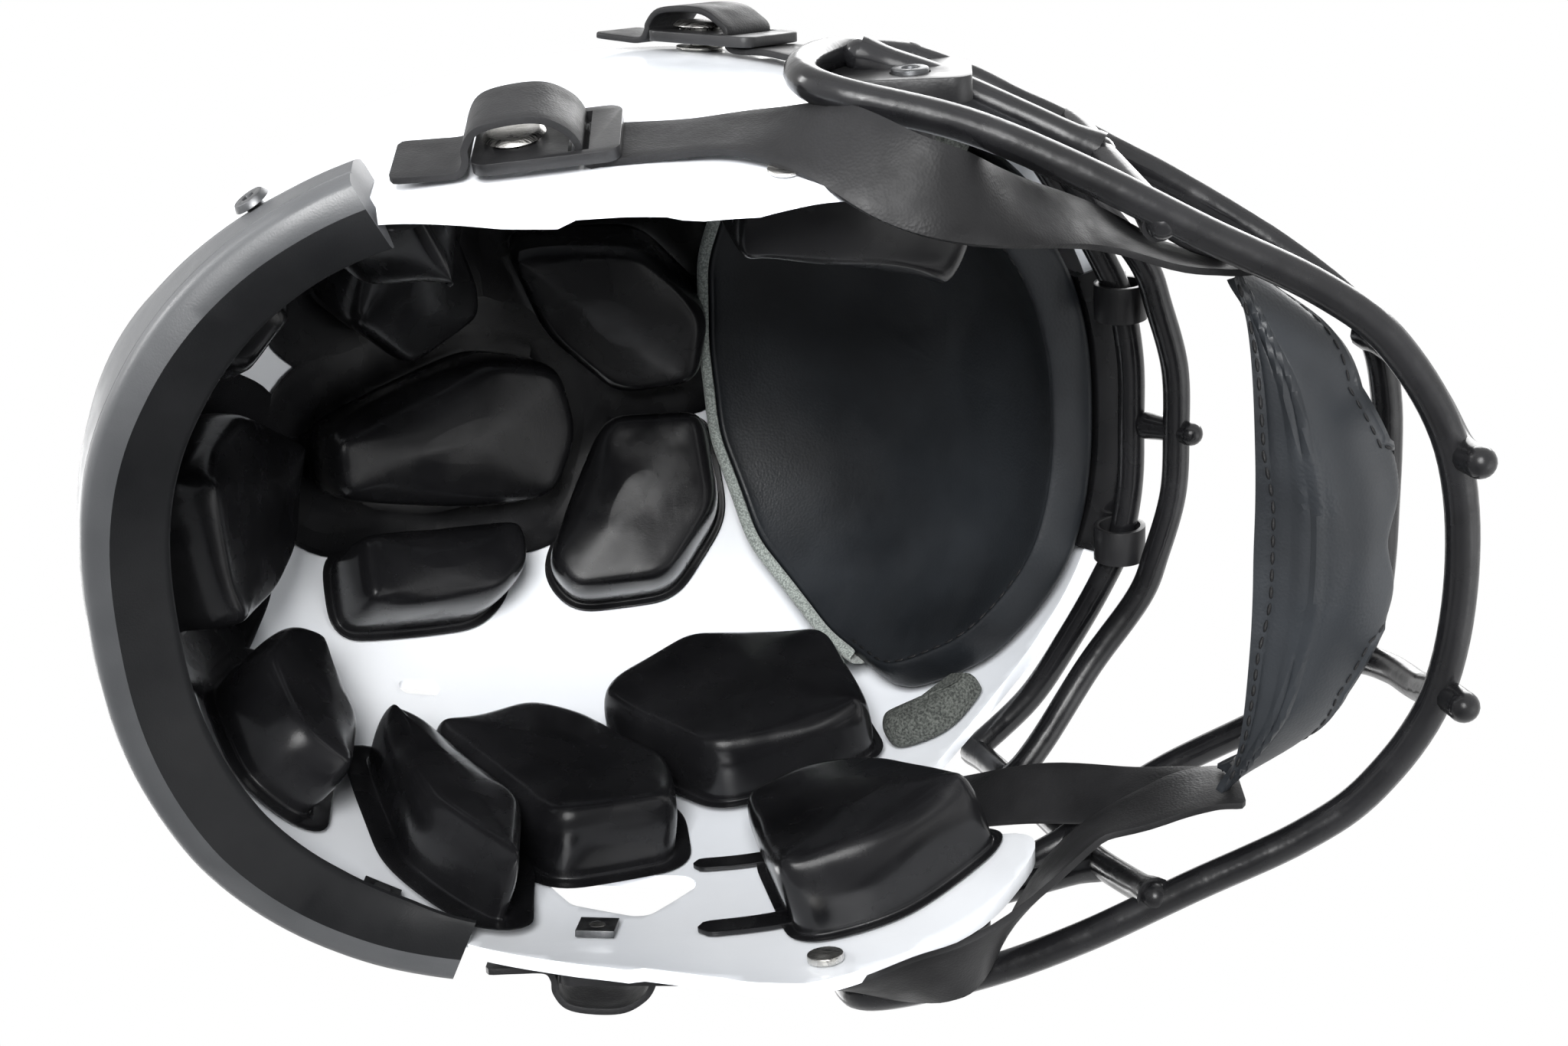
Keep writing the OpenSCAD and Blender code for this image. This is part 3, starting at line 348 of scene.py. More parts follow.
def bumper_section(turn):
    y = -125 * math.cos(math.radians(turn))
    low, high, rise = (looked_up(y, s) for s in (BUMPER_BOTTOM, BUMPER_TOP, FLANGE_RISE))
    tray, mid = low + 7, (low + high) / 2 + 2
    r = reach(turn, low + 1, -BUMPER_OUT)
    r_in, r_wall, r_flat = r - FLANGE_WIDTH, reach(turn, tray, SHELL_WALL + 1), r - 8
    floor_top = low + rise * max(0, (r_flat - r_wall) / (r_flat - r_in)) + FLANGE_THICK
    points = [
        (reach(turn, high, -0.4), high),
        (reach(turn, high, -4.4), high),
        (reach(turn, high - 1, -6.4), high - 0.8),
        (reach(turn, high - 3, 0.6 - BUMPER_OUT), high - 3),
        (reach(turn, mid, -BUMPER_OUT - 0.3), mid),
        (reach(turn, low + 5.4, -BUMPER_OUT), low + 5.4),
        (reach(turn, low + 5.1, -BUMPER_OUT + 0.7), low + 4.9),
        (reach(turn, low + 4.5, -BUMPER_OUT), low + 4.3),
        (reach(turn, low + 3, -BUMPER_OUT), low + 3),
        (reach(turn, low + 1, -BUMPER_OUT + 0.5), low + 1),
        (reach(turn, low, -BUMPER_OUT + 1.8), low), (r_flat, low), (r_in + 1, low + rise * 0.92),
        (r_in, low + rise + 0.6), (r_in, low + rise + FLANGE_THICK - 0.5),
        (r_in + 0.7, low + rise + FLANGE_THICK),
        (r_wall - 0.2, max(floor_top, tray)), (r_wall, tray), (reach(turn, tray, -0.4), tray),
        (reach(turn, mid, -0.4), mid)]
    t = math.radians(turn)
    return [placed((q * math.sin(t), -q * math.cos(t), z)) for q, z in points]


def bent_sheet(name, rows):
    across, along = len(rows[0]) - 1, len(rows) - 1
    bpy.ops.object.select_all(action="DESELECT")
    bpy.ops.mesh.primitive_grid_add(x_subdivisions=across, y_subdivisions=along, size=1)
    made = bpy.context.object
    made.name = made.data.name = name
    for v in made.data.vertices:
        v.co = rows[round((v.co.y + 0.5) * along)][round((v.co.x + 0.5) * across)]
    return made


def joined_rings(name, rings):
    made = bent_sheet(name, [[*ring, ring[0]] for ring in rings])
    return edit(made, merge_doubles,
                pick_none, lambda: bpy.ops.mesh.select_non_manifold(extend=False),
                lambda: bpy.ops.mesh.fill_holes(sides=0), pick_all, outward)


BUMPER_HALF_ANGLE = 65
BUMPER_SECTIONS = 81
BUMPER_ANGLES = [180 + BUMPER_HALF_ANGLE * (i / (BUMPER_SECTIONS // 2) - 1) for i in range(BUMPER_SECTIONS)]
rear_bumper = joined_rings("rear_bumper_moulding", [bumper_section(turn) for turn in BUMPER_ANGLES])
smoothed(rear_bumper, 38)
bumper_rubber, tree, shader = new_material("satin_bumper_rubber", (0.009, 0.0094, 0.01), 0.52,
                                           Specular_IOR_Level=0.12)
coloured(tree, shader, noise_at(tree, 14, 6).outputs["Fac"], (0.006, 0.0063, 0.007), (0.016, 0.0165, 0.0175),
         0.3, 0.75)
roughened(tree, shader, noise_at(tree, 55, 5).outputs["Fac"], 0.38, 0.6)
raised(tree, shader, noise_at(tree, 1900, 2).outputs["Fac"], 0.22, 0.0002)
finish_of(rear_bumper, bumper_rubber)
# The outer band is the same rubber as the flange. Its satin gloss is the rubber's own, but its much lighter
# base colour is painted sheen that stands in for light grazing its outer face.
band_painted_sheen, tree, shader = new_material("bumper_band_painted_sheen", (0.06, 0.062, 0.065), 0.4,
                                        Specular_IOR_Level=0.6)
coloured(tree, shader, noise_at(tree, 14, 6).outputs["Fac"], (0.045, 0.047, 0.05), (0.08, 0.082, 0.086),
         0.3, 0.75)
roughened(tree, shader, noise_at(tree, 55, 5).outputs["Fac"], 0.34, 0.5)
raised(tree, shader, noise_at(tree, 1900, 2).outputs["Fac"], 0.2, 0.0002)
# faces outside the shell take the band material, whose lighter colour is painted sheen
rear_bumper.data.materials.append(band_painted_sheen)
for face in rear_bumper.data.polygons:
    spot = face.center * 1000 - Vector((0, SHELL_SHIFT, 0))
    outside = fullness(spot.x, spot.y, spot.z - SHELL_CENTRE, -1.0) > 1
    face.material_index = 1 if outside else 0
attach(rear_bumper, "helmet")
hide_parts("rear_bumper")

# Front bumper: a glossy moulded plastic channel over the shell's brow edge, between and behind the mask
# clips. Its section, with a shallow groove in front, is repeated along the edge and gets lower at its ends.
BROW_Z = 156
BROW_HALF_ANGLE = 19.0
BROW_FULL_ANGLE = 17.5
BROW_END_DROP = 0.12
BROW_SECTION = [(-0.4, 161.9), (-1.5, 162.3), (-2.7, 161.4), (-2.7, 158), (-2.2, 157.4), (-2.2, 156.6),
                (-2.7, 156), (-2.7, 154.9), (-2.0, 154.2), (6.4, 154.2), (7.1, 154.9), (7.1, 160.4),
                (4.8, 160.4), (4.8, 156), (-0.4, 156)]
front_sections = []
for i in range(33):
    turn = BROW_HALF_ANGLE * (i / 16 - 1)
    t = math.radians(turn)
    past = max(0, (abs(turn) - BROW_FULL_ANGLE) / (BROW_HALF_ANGLE - BROW_FULL_ANGLE))
    end = 1 - past * BROW_END_DROP
    ring = []
    for depth, z in BROW_SECTION:
        r = reach(turn, z, depth)
        ring.append(placed((r * math.sin(t), -r * math.cos(t), BROW_Z + (z - BROW_Z) * end)))
    front_sections.append(ring)
front_bumper = smoothed(joined_rings("front_bumper_moulding", front_sections), 40)
gloss_black, tree, shader = new_material("gloss_black_moulding", (0.006, 0.006, 0.007), 0.2, Coat_Weight=0.3,
                                        Coat_Roughness=0.08, Specular_IOR_Level=0.35)
roughened(tree, shader, noise_at(tree, 60, 5).outputs["Fac"], 0.17, 0.36)
coloured(tree, shader, noise_at(tree, 20, 4).outputs["Fac"], (0.004, 0.004, 0.0045), (0.01, 0.01, 0.011))
raised(tree, shader, noise_at(tree, 700, 2).outputs["Fac"], 0.08, 0.0002)
finish_of(front_bumper, gloss_black)
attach(front_bumper, "helmet")
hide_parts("front_bumper")

# Liner pads: air and foam cells in thermoformed black vinyl, each with a thin welded flange that lies on
# the shell. Each is formed as rings round its outline, then a short cloth run under pressure fills it.
PAD_BASE = 4.8
RAISED_BASE = 7.5
PAD_CORNER = 8.0
CROWN_THICK = 28
PAD_THICK = 24
JAW_THICK = 27
# each pad: its corners on the shell, its side, where its base lies under the shell's surface, its thickness
PADS = {
    "crown_pad_front_left": (
        [(32, 36, 250), (32, 0, 253), (64, -5, 240), (86, 12, 221), (86, 46, 212), (76, 56, 220)],
        1, PAD_BASE, CROWN_THICK),
    "crown_pad_front_right": (
        [(-45, 63, 236), (-43, 18, 249), (-16, -4, 255), (10, 1, 256), (13, 31, 253), (-12, 54, 247)],
        1, PAD_BASE, CROWN_THICK),
    "crown_pad_centre": (
        [(8, 128, 188), (-3, 84, 238), (4, 60, 247), (29, 56, 247), (51, 65, 238), (49, 87, 224),
         (31, 128, 187)], 1, PAD_BASE, CROWN_THICK),
    "crown_pad_rear_left": (
        [(51, 122, 178), (64, 74, 221), (79, 71, 211), (86, 80, 197), (73, 118, 161)],
        1, PAD_BASE, CROWN_THICK),
    "crown_pad_rear_right": (
        [(-80, 94, 184), (-71, 85, 207), (-40, 83, 229), (-29, 85, 231), (-16, 108, 214), (-40, 121, 190)],
        1, PAD_BASE, CROWN_THICK),
    "rear_pad_centre": (
        [(-20, 146, 124), (6, 138, 166), (34, 138, 142), (40, 141, 118), (35, 145, 78), (-14, 150, 76)],
        1, PAD_BASE, PAD_THICK)}
PAIRED_PADS = {
    "rear_pad_": (
        [(58, 133, 112), (69, 125, 126), (84, 106, 92), (82, 99, 52), (66, 115, 50), (54, 132, 78)],
        PAD_BASE, PAD_THICK),
    "nape_pad_": (
        [(90, 98, 110), (98, 84, 108), (104, 64, 89), (107, 46, 70), (101, 38, 24), (97, 72, 50)],
        RAISED_BASE, PAD_THICK),
    "side_pad_rear_": (
        [(102, 82, 118), (110, 53, 144), (113, 34, 140), (116, 3, 113), (115, -3, 81), (112, 32, 65)],
        PAD_BASE, PAD_THICK),
    "side_pad_front_": (
        [(111, 28, 149), (109, 25, 161), (104, 1, 185), (100, -48, 180), (104, -64, 130), (113, -13, 112)],
        RAISED_BASE, PAD_THICK),
    "jaw_pad_": (
        [(115, -29, 83), (111, -51, 95), (105, -73, 87), (97, -93, 65), (92, -101, 53), (106, -70, 34),
         (109, -44, 28)], PAD_BASE, JAW_THICK)}
for word, side in (("left", 1), ("right", -1)):
    for name, (corners, base, thickness) in PAIRED_PADS.items():
        PADS[name + word] = (corners, side, base, thickness)


def round_outline(corners, side=1, step=7.0):
    points = [Vector((side * c[0], c[1], c[2])) for c in corners]
    made = []
    for i, b in enumerate(points):
        back, on = points[i - 1] - b, points[(i + 1) % len(points)] - b
        u = back.normalized() * min(PAD_CORNER, back.length * 0.42)
        v = on.normalized() * min(PAD_CORNER, on.length * 0.42)
        made += [b + u * (1 - k / 4) ** 2 + v * (k / 4) ** 2 for k in range(5)]
        end = points[(i + 1) % len(points)] - on.normalized() * min(PAD_CORNER, on.length * 0.42)
        parts = int((end - made[-1]).length / step)
        made += [made[-1].lerp(end, k / (parts + 1)) for k in range(1, parts + 1)]
    return made


def to_wall(p, out, depth):
    for _ in range(8):
        p = p + out * (on_shell(p, depth) - p).dot(out)
    return p


# the rings of a pad: shares of the outline under it, then the wall as distance in from the outline and share
# of the thickness, then shares of the way from the wall's top to the middle of the face
PAD_UNDER = (0.05, 0.35, 0.7)
PAD_WALL = [(0.2, 0.08), (0, 0.2), (-0.1, 0.38), (0, 0.55), (0.5, 0.7), (1.2, 0.81), (2.3, 0.9),
            (3.8, 0.96), (5.4, 0.99), (7.0, 1.0)]
PAD_FACE = (0.12, 0.26, 0.4, 0.54, 0.68, 0.82, 0.95)
FIXED_RINGS = len(PAD_UNDER) + 6
PLAIN_FLANGE = 3
FLANGES = {"crown_pad_centre": 21, "crown_pad_front_right": 19, "crown_pad_rear_right": 23,
           "rear_pad_centre": 20, "rear_pad_left": 7, "rear_pad_right": 22, "nape_pad_left": 8,
           "nape_pad_right": 8, "side_pad_rear_left": 5, "side_pad_rear_right": 8}
FACE_LEVELLING = 0.45
FACE_CROWN = 1.03


def pad_rings(corners, side, base, thickness, flange=0.0, weld=0.9):
    outline = round_outline(corners, side)
    out = shell_out(on_shell(sum(outline, Vector()) / len(outline)))
    seat = [to_wall(p, out, base) for p in outline]
    n = len(seat)
    middle = sum(seat, Vector()) / n
    inward = [out.cross(seat[(i + 1) % n] - seat[i - 1]).normalized() for i in range(n)]
    if inward[0].dot(middle - seat[0]) < 0:
        inward = [-v for v in inward]
    rings = [[to_wall(middle.lerp(p, share), out, base) for p in seat] for share in PAD_UNDER]
    if flange:
        for wide, rise in ((flange, 0), (flange, weld * 0.6), (flange - 0.4, weld), (flange * 0.5, weld),
                           (0, weld)):
            rings.append([to_wall(p - v * wide, out, base) - out * rise for p, v in zip(seat, inward)])
    uneven = [(p - middle).dot(out) * FACE_LEVELLING for p in seat]
    for inset, height in PAD_WALL:
        rings.append([p + v * inset - out * (height * thickness + h * height**2)
                      for p, v, h in zip(seat, inward, uneven)])
    top = middle - out * thickness * FACE_CROWN
    face = [(p - out * (p - top).dot(out), (p - top).dot(out)) for p in rings[-1]]
    rings += [[p.lerp(top, share) + out * (h * (1 - share) ** 3) for p, h in face] for share in PAD_FACE]
    return [[placed(p) for p in ring] for ring in rings]


def grouped(obj, name, rings):
    spots = [p for ring in rings for p in ring]
    near = [v.index for v in obj.data.vertices if min((v.co - p).length for p in spots) < 2e-5]
    obj.vertex_groups.new(name=name).add(near, 1.0, "REPLACE")


# welded flanges overlap, so four weld heights keep them from lying in one plane
WELDS = (0.7, 0.82, 0.94, 1.06)
pads = []
for number, (name, (corners, side, base, thickness)) in enumerate(PADS.items()):
    rings = pad_rings(corners, side, base, thickness, FLANGES.get(name, PLAIN_FLANGE), WELDS[number % 4])
    pad = joined_rings(name + "_cell", rings)
    grouped(pad, "held", rings[:FIXED_RINGS])
    grouped(pad, "face", rings[-len(PAD_FACE) - 2:])
    pads.append((pad, name))


def inflated(objects, pressure, most, frames=14):
    starts = [[v.co.copy() for v in o.data.vertices] for o in objects]
    for o in objects:
        cloth = active(o).modifiers.new("Fill", "CLOTH")
        cloth.settings.quality = 4
        cloth.settings.mass = 0.25
        cloth.settings.tension_stiffness = cloth.settings.compression_stiffness = 30
        cloth.settings.bending_stiffness = 4
        cloth.settings.use_pressure = True
        cloth.settings.uniform_pressure_force = pressure
        cloth.settings.vertex_group_mass = "held"
        cloth.settings.effector_weights.gravity = 0
        cloth.point_cache.frame_start, cloth.point_cache.frame_end = 1, frames
        cloth.collision_settings.use_collision = False
    for f in range(1, frames + 1):
        bpy.context.scene.frame_set(f)
    for o, start in zip(objects, starts):
        active(o)
        bpy.ops.object.modifier_apply(modifier="Fill")
        for v, s in zip(o.data.vertices, start):
            step = v.co - s
            v.co = s + step * min(1, most / max(step.length, 1e-9))
    bpy.context.scene.frame_set(1)


inflated([row[0] for row in pads], 2.0, 0.0012)
pad_vinyl, tree, shader = new_material("black_pad_vinyl", (0.006, 0.006, 0.007), 0.24, Coat_Weight=0.15,
                                       Coat_Roughness=0.14, Specular_IOR_Level=0.32)
coloured(tree, shader, noise_at(tree, 26, 5).outputs["Fac"], (0.0035, 0.0035, 0.004), (0.01, 0.01, 0.011))
roughened(tree, shader, noise_at(tree, 75, 6).outputs["Fac"], 0.18, 0.32)
dimple = raised(tree, shader, noise_at(tree, 95, 3).outputs["Fac"], 0.1, 0.0008)
raised(tree, shader, noise_at(tree, 1500, 3).outputs["Fac"], 0.12, 0.0002, dimple)
for pad, name in pads:
    pad.vertex_groups.active_index = pad.vertex_groups["face"].index
    edit(pad, pick_none, lambda: bpy.ops.object.vertex_group_select(),
         lambda: bpy.ops.mesh.vertices_smooth(factor=0.5, repeat=80))
    with_modifier(pad, "SUBSURF", levels=1, render_levels=1)
    smoothed(pad, 60)
    finish_of(pad, pad_vinyl)
    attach(pad, "helmet")
    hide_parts(name)

# Front pad: a wide padded band behind the brow, covered in smooth black leatherette that is sewn down
# along both ends, with a grey knitted strip along its rear edge.
FRONT_CORNERS = [(0, -5, 250), (34, -7, 245), (66, -20, 221), (88, -48, 184), (95, -70, 158), (82, -100, 151),
                 (50, -126, 150), (14, -137, 155)]
FRONT_BASE = 7.9
FRONT_THICK = 13.5
# each ring of the pad and of the strip: scale of the outline and share of the thickness
FRONT_LEVELS = [(0.03, 0), (0.3, 0), (0.6, 0), (0.85, 0), (0.985, 0), (1.0, 0.14), (1.003, 0.4), (1.0, 0.66),
                (0.995, 0.82), (0.987, 0.92), (0.978, 0.972), (0.968, 0.985), (0.96, 0.965), (0.952, 0.985),
                (0.93, 1.01), (0.8, 1.03), (0.6, 1.04), (0.4, 1.045), (0.2, 1.05), (0.03, 1.05)]
FRONT_SEAM = 12
STRIP_LEVELS = [(1.0, 0.5), (1.03, 0.66), (1.052, 0.8), (1.055, 0.92), (1.04, 1.0), (1.016, 1.01),
                (0.99, 1.0)]


def both_sides(points):
    return [(-p[0], p[1], p[2]) for p in reversed(points[1:])] + list(points)


front_outline = round_outline(both_sides(FRONT_CORNERS), step=6.0)
front_middle = sum(front_outline, Vector()) / len(front_outline)


def front_spot(p, scale, level):
    spread = front_middle + (p - front_middle) * scale
    return placed(on_shell(spread, FRONT_BASE + level * FRONT_THICK))


front_rings = [[front_spot(p, scale, level) for p in front_outline] for scale, level in FRONT_LEVELS]
front_pad = joined_rings("front_pad_band", front_rings)
grouped(front_pad, "held", front_rings[:FRONT_SEAM + 2])
inflated([front_pad], 1.5, 0.0015)
with_modifier(front_pad, "SUBSURF", levels=1, render_levels=1)
smoothed(front_pad, 60)
leatherette, tree, shader = new_material("black_leatherette", (0.009, 0.009, 0.01), 0.46,
                                         Specular_IOR_Level=0.4)
coloured(tree, shader, noise_at(tree, 18, 5).outputs["Fac"], (0.008, 0.0092, 0.011), (0.02, 0.023, 0.027))
roughened(tree, shader, noise_at(tree, 45, 5).outputs["Fac"], 0.38, 0.54)
grain = cells_at(tree, 1100)
pebble = raised(tree, shader, grain.outputs["Distance"], 0.16, 0.0003)
raised(tree, shader, noise_at(tree, 130, 4).outputs["Fac"], 0.12, 0.0006, pebble)
finish_of(front_pad, leatherette)
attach(front_pad, "helmet")
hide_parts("front_pad")
rear_edge = [p for p in front_outline if p.y > -66 and p.z > 168]
strip_rows = [[front_spot(p, scale, level) for scale, level in STRIP_LEVELS] for p in rear_edge]
edge_strip = bent_sheet("front_pad_edge_strip", strip_rows)
with_modifier(edge_strip, "SOLIDIFY", thickness=0.0009, offset=0)
edit(edge_strip, outward)
with_modifier(edge_strip, "SUBSURF", levels=1, render_levels=1)
smoothed(edge_strip, 60)
strip_knit, tree, shader = new_material("grey_knit_strip", (0.12, 0.135, 0.13), 0.9, Sheen_Weight=0.3)
loops = cells_at(tree, 1500)
coloured(tree, shader, loops.outputs["Distance"], (0.42, 0.46, 0.43), (0.16, 0.18, 0.17), 0.1, 0.8)
raised(tree, shader, loops.outputs["Distance"], 0.6, 0.0004)
finish_of(edge_strip, strip_knit)
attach(edge_strip, "helmet")

# Foam wedges: open-cell grey foam between the ends of the front pad and the shell at each temple. They are
# built as the pads are, but low and without a flange, and joined into one piece.
WEDGE_CORNERS = [(99, -64, 146), (84, -99, 145), (93, -85, 130), (102, -66, 132)]
WEDGE_THICK = 11
wedges = [joined_rings("foam_wedge", pad_rings(WEDGE_CORNERS, side, PAD_BASE, WEDGE_THICK))
          for side in (1, -1)]
active(wedges[0])
wedges[1].select_set(True)
bpy.ops.object.join()
foam = wedges[0]
foam.name = foam.data.name = "temple_foam_wedges"
with_modifier(foam, "SUBSURF", levels=2, render_levels=2)
smoothed(foam, 60)
foam_grey, tree, shader = new_material("grey_cut_foam", (0.035, 0.039, 0.036), 0.95)
cells = noise_at(tree, 1300, 3)
coloured(tree, shader, cells.outputs["Fac"], (0.02, 0.023, 0.021), (0.1, 0.107, 0.098))
raised(tree, shader, cells.outputs["Fac"], 0.7, 0.0006)
finish_of(foam, foam_grey)
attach(foam, "helmet")
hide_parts("front_foam")

# Chin cup: a shell of padded leatherette that follows the chin, held by the four straps. One sheet is bent
# over the four edges of the cup, thickened, ribbed near its rear edge and sewn with two rows of stitches.
CUP_REAR = [(0, -167, 40), (14, -167, 39.5), (28, -166.5, 38.5), (48, -165.5, 40), (62, -164, 42.5),
            (73, -161, 44)]
CUP_BELLY = [(0, -186, 35), (14, -185.5, 35), (27, -183, 35.5), (45, -178, 36.5), (60, -170.5, 41),
             (73.5, -163.5, 48)]
CUP_FRONT = [(0, -202.5, 45), (14, -205, 47), (28, -202, 48), (45, -194, 48), (59, -184, 50),
             (74, -164.5, 55)]
CUP_TOP = [(0, -196.5, 66), (14, -196, 66), (27, -191, 65.5), (44, -182.5, 63.5), (59, -172, 62),
           (73, -161, 62)]
# how much of the cup's depth is kept at each distance from its middle: less where the two scoops are cut
CUP_SCOOP = [(0, 1), (13, 1), (20, 0.86), (28, 0.64), (46, 0.6), (60, 0.7), (74, 0.9)]
cup_rows = [smooth_line(both_sides(e), 8) for e in (CUP_REAR, CUP_BELLY, CUP_FRONT, CUP_TOP)]
cup_grid = [smooth_line([row[i] for row in cup_rows], 16) for i in range(len(cup_rows[0]))]


def grid_out(grid, i, k):
    a = grid[min(i + 1, len(grid) - 1)][k] - grid[max(i - 1, 0)][k]
    b = grid[i][min(k + 1, len(grid[0]) - 1)] - grid[i][max(k - 1, 0)]
    return a.cross(b).normalized()


def rib(k, at, width, height):
    return height * math.exp(-((k - at) / width) ** 2)


cup_surface, cup_outs = [], []
for i, column in enumerate(cup_grid):
    across = abs(i / (len(cup_grid) - 1) * 2 - 1)
    ends = 1 - max(0, across - 0.86) / 0.14
    kept = looked_up(abs(column[0].x), CUP_SCOOP)
    row, outs = [], []
    for k in range(len(column)):
        spot = k * kept
        j = min(int(spot), len(column) - 2)
        out = grid_out(cup_grid, i, j).lerp(grid_out(cup_grid, i, j + 1), spot - j).normalized()
        lift = (rib(spot, 10.5, 0.8, 1.0) + rib(spot, 13.2, 0.8, 1.0) - rib(spot, 4.5, 0.9, 0.5)) * ends
        lift += rib(k, len(column) - 2.5, 1.1, 1.2)
        row.append(placed(column[j].lerp(column[j + 1], spot - j) + out * (lift - 1.2)))
        outs.append(out)
    cup_surface.append(row)
    cup_outs.append(outs)
chin_cup = bent_sheet("chin_cup_cover", cup_surface)
with_modifier(chin_cup, "SOLIDIFY", thickness=0.0021, offset=0)
rounded(chin_cup, 0.0007, 3, 50)
smoothed(chin_cup, 45)
finish_of(chin_cup, leatherette)
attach(chin_cup, "chin_cup")
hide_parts("chin_cup")

# Cup lining: soft foam with a dark knitted face inside the cup, set back from the cup's edges. It is a
# second sheet on the cup's own grid, thickened, and stands further off the cup in its middle.
LINING_SIDE_STEPS = 5
LINING_EDGE_STEPS = 4
lining_rows = []
for i in range(LINING_SIDE_STEPS, len(cup_grid) - LINING_SIDE_STEPS):
    row = []
    for k in range(LINING_EDGE_STEPS, len(cup_grid[0]) - LINING_EDGE_STEPS):
        from_side = min(i - LINING_SIDE_STEPS, len(cup_grid) - 1 - LINING_SIDE_STEPS - i)
        from_edge = min(k - LINING_EDGE_STEPS, len(cup_grid[0]) - 1 - LINING_EDGE_STEPS - k)
        inset = 3.5 + 1.5 * min(1, min(from_side, from_edge) / 5)
        row.append(placed(cup_grid[i][k] - grid_out(cup_grid, i, k) * inset))
    lining_rows.append(row)
cup_lining = bent_sheet("cup_lining_foam", lining_rows)
with_modifier(cup_lining, "SOLIDIFY", thickness=0.0026, offset=0)
rounded(cup_lining, 0.0009, 3, 50)
smoothed(cup_lining, 50)
lining_knit, tree, shader = new_material("dark_knit_lining", (0.03, 0.03, 0.032), 0.9, Sheen_Weight=0.3)
knit = cells_at(tree, 900)
coloured(tree, shader, knit.outputs["Distance"], (0.045, 0.045, 0.048), (0.015, 0.015, 0.016), 0.1, 0.7)
raised(tree, shader, knit.outputs["Distance"], 0.6, 0.0006)
finish_of(cup_lining, lining_knit)
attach(cup_lining, "chin_cup")
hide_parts("cup_liner")


# Stitching: bonded black thread, one lockstitch every 4 to 5 mm, along both edges of the chin cup and at
# the ends of the front pad. Each stitch is a copy of one small rounded bead of thread.
def stitch_row(name, points, outs, body, pitch=0.0042, length=0.003, width=0.0008):
    bpy.ops.object.select_all(action="DESELECT")
    bpy.ops.mesh.primitive_uv_sphere_add(segments=8, ring_count=5, radius=0.5)
    bead = bpy.context.object
    mesh = bead.data
    bpy.data.objects.remove(bead)
    run, made = 0.0, []
    for (a, b, n) in zip(points, points[1:], outs):
        step = (b - a).length
        while run < step:
            along = (b - a).normalized()
            across = n.cross(along).normalized()
            spot = a + along * run
            stitch = bpy.data.objects.new(name, mesh.copy())
            stitch.data.transform(Matrix((
                (across.x * width, n.x * width, along.x * length, spot.x),
                (across.y * width, n.y * width, along.y * length, spot.y),
                (across.z * width, n.z * width, along.z * length, spot.z), (0, 0, 0, 1))))
            bpy.context.collection.objects.link(stitch)
            made.append(stitch)
            run += pitch
        run -= step
    for s in made:
        s.select_set(True)
    bpy.context.view_layer.objects.active = made[0]
    bpy.ops.object.join()
    row = bpy.context.object
    row.name = row.data.name = name
    edit(row, outward)
    smoothed(row, 80)
    finish_of(row, thread)
    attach(row, body)
    return row


thread, tree, shader = new_material("black_bonded_thread", (0.008, 0.008, 0.009), 0.5, Specular_IOR_Level=0.3)
twist = tree.nodes.new("ShaderNodeTexWave")
twist.inputs["Scale"].default_value = 1800
twist.inputs["Distortion"].default_value = 3
tree.links.new(on_object(tree), twist.inputs["Vector"])
coloured(tree, shader, twist.outputs["Fac"], (0.005, 0.005, 0.0055), (0.016, 0.016, 0.017), 0.2, 0.8)
raised(tree, shader, twist.outputs["Fac"], 0.4, 0.0002)
HEM_LINE = 5
EDGE_LINE = 43
inner = range(3, len(cup_grid) - 3)
stitch_row("cup_hem_stitches", [cup_surface[i][HEM_LINE] + cup_outs[i][HEM_LINE] * 0.0013 for i in inner],
           [cup_outs[i][HEM_LINE] for i in inner], "chin_cup", 0.0048, 0.0036, 0.0011)
stitch_row("cup_edge_stitches", [cup_surface[i][EDGE_LINE] + cup_outs[i][EDGE_LINE] * 0.0012 for i in inner],
           [cup_outs[i][EDGE_LINE] for i in inner], "chin_cup")
for word, side in (("left", 1), ("right", -1)):
    seam = [p for p in front_rings[FRONT_SEAM] if side * p.x > 0.046 and p.z < 0.176]
    outs = [-shell_out(p * 1000 - Vector((0, SHELL_SHIFT, 0))) for p in seam]
    raised_seam = [p + n * 0.0004 for p, n in zip(seam, outs)]
    stitch_row("front_pad_stitches_" + word, raised_seam, outs, "helmet", 0.0048, 0.0034, 0.0009)

# Chin straps: four 22 mm leatherette straps. Each is turned through its buckle, runs free past the mask
# and ends on the corner of the chin cup. Each is one long ribbon laid along its path and thickened.
STRAP_WIDTH = 22.0
STRAP_THICK = 1.8
STRAP_UNDER = 1.4
TAIL_TURN = -11.5
TAIL_HEIGHT = 2.6
SLOT_HEIGHT = 4.3
LOWER_ARCH = 14.5
UPPER_ARCH = 12.0
TURN_FACES = [(0, 0, 1), (0, 0, 1), (0, -0.3, 1), (0, -1, 0.2), (0, -1, 0.1), (0, -0.7, 0.7), (0, 0, 1),
              (0, 0.3, 1), (0, 0.9, 0.5), (0, 1, 0), (0, 1, 0), (0, 0.7, 0.7), (0, 0, 1)]


def ribbon(name, path, faces, n=6):
    line, outs = smooth_line(path, n), smooth_line(faces, n)
    rows = []
    for i, p in enumerate(line):
        along = (line[min(i + 1, len(line) - 1)] - line[max(i - 1, 0)]).normalized()
        out = (outs[i] - along * outs[i].dot(along)).normalized()
        across = along.cross(out)
        rounding = min(i, len(line) - 1 - i)
        half = STRAP_WIDTH / 2 * (1 if rounding > 1 else (0.8, 0.97)[rounding])
        rows.append([placed(p + across * (half * (j / 3 - 1))) for j in range(7)])
    made = bent_sheet(name, rows)
    with_modifier(made, "SOLIDIFY", thickness=STRAP_THICK / 1000, offset=0)
    edit(made, outward)
    rounded(made, 0.0005, 2, 50)
    return smoothed(made, 45)


def strap_faces(axes):
    return [axes[1] * v[0] + axes[2] * v[1] + axes[3] * v[2] for v in TURN_FACES]


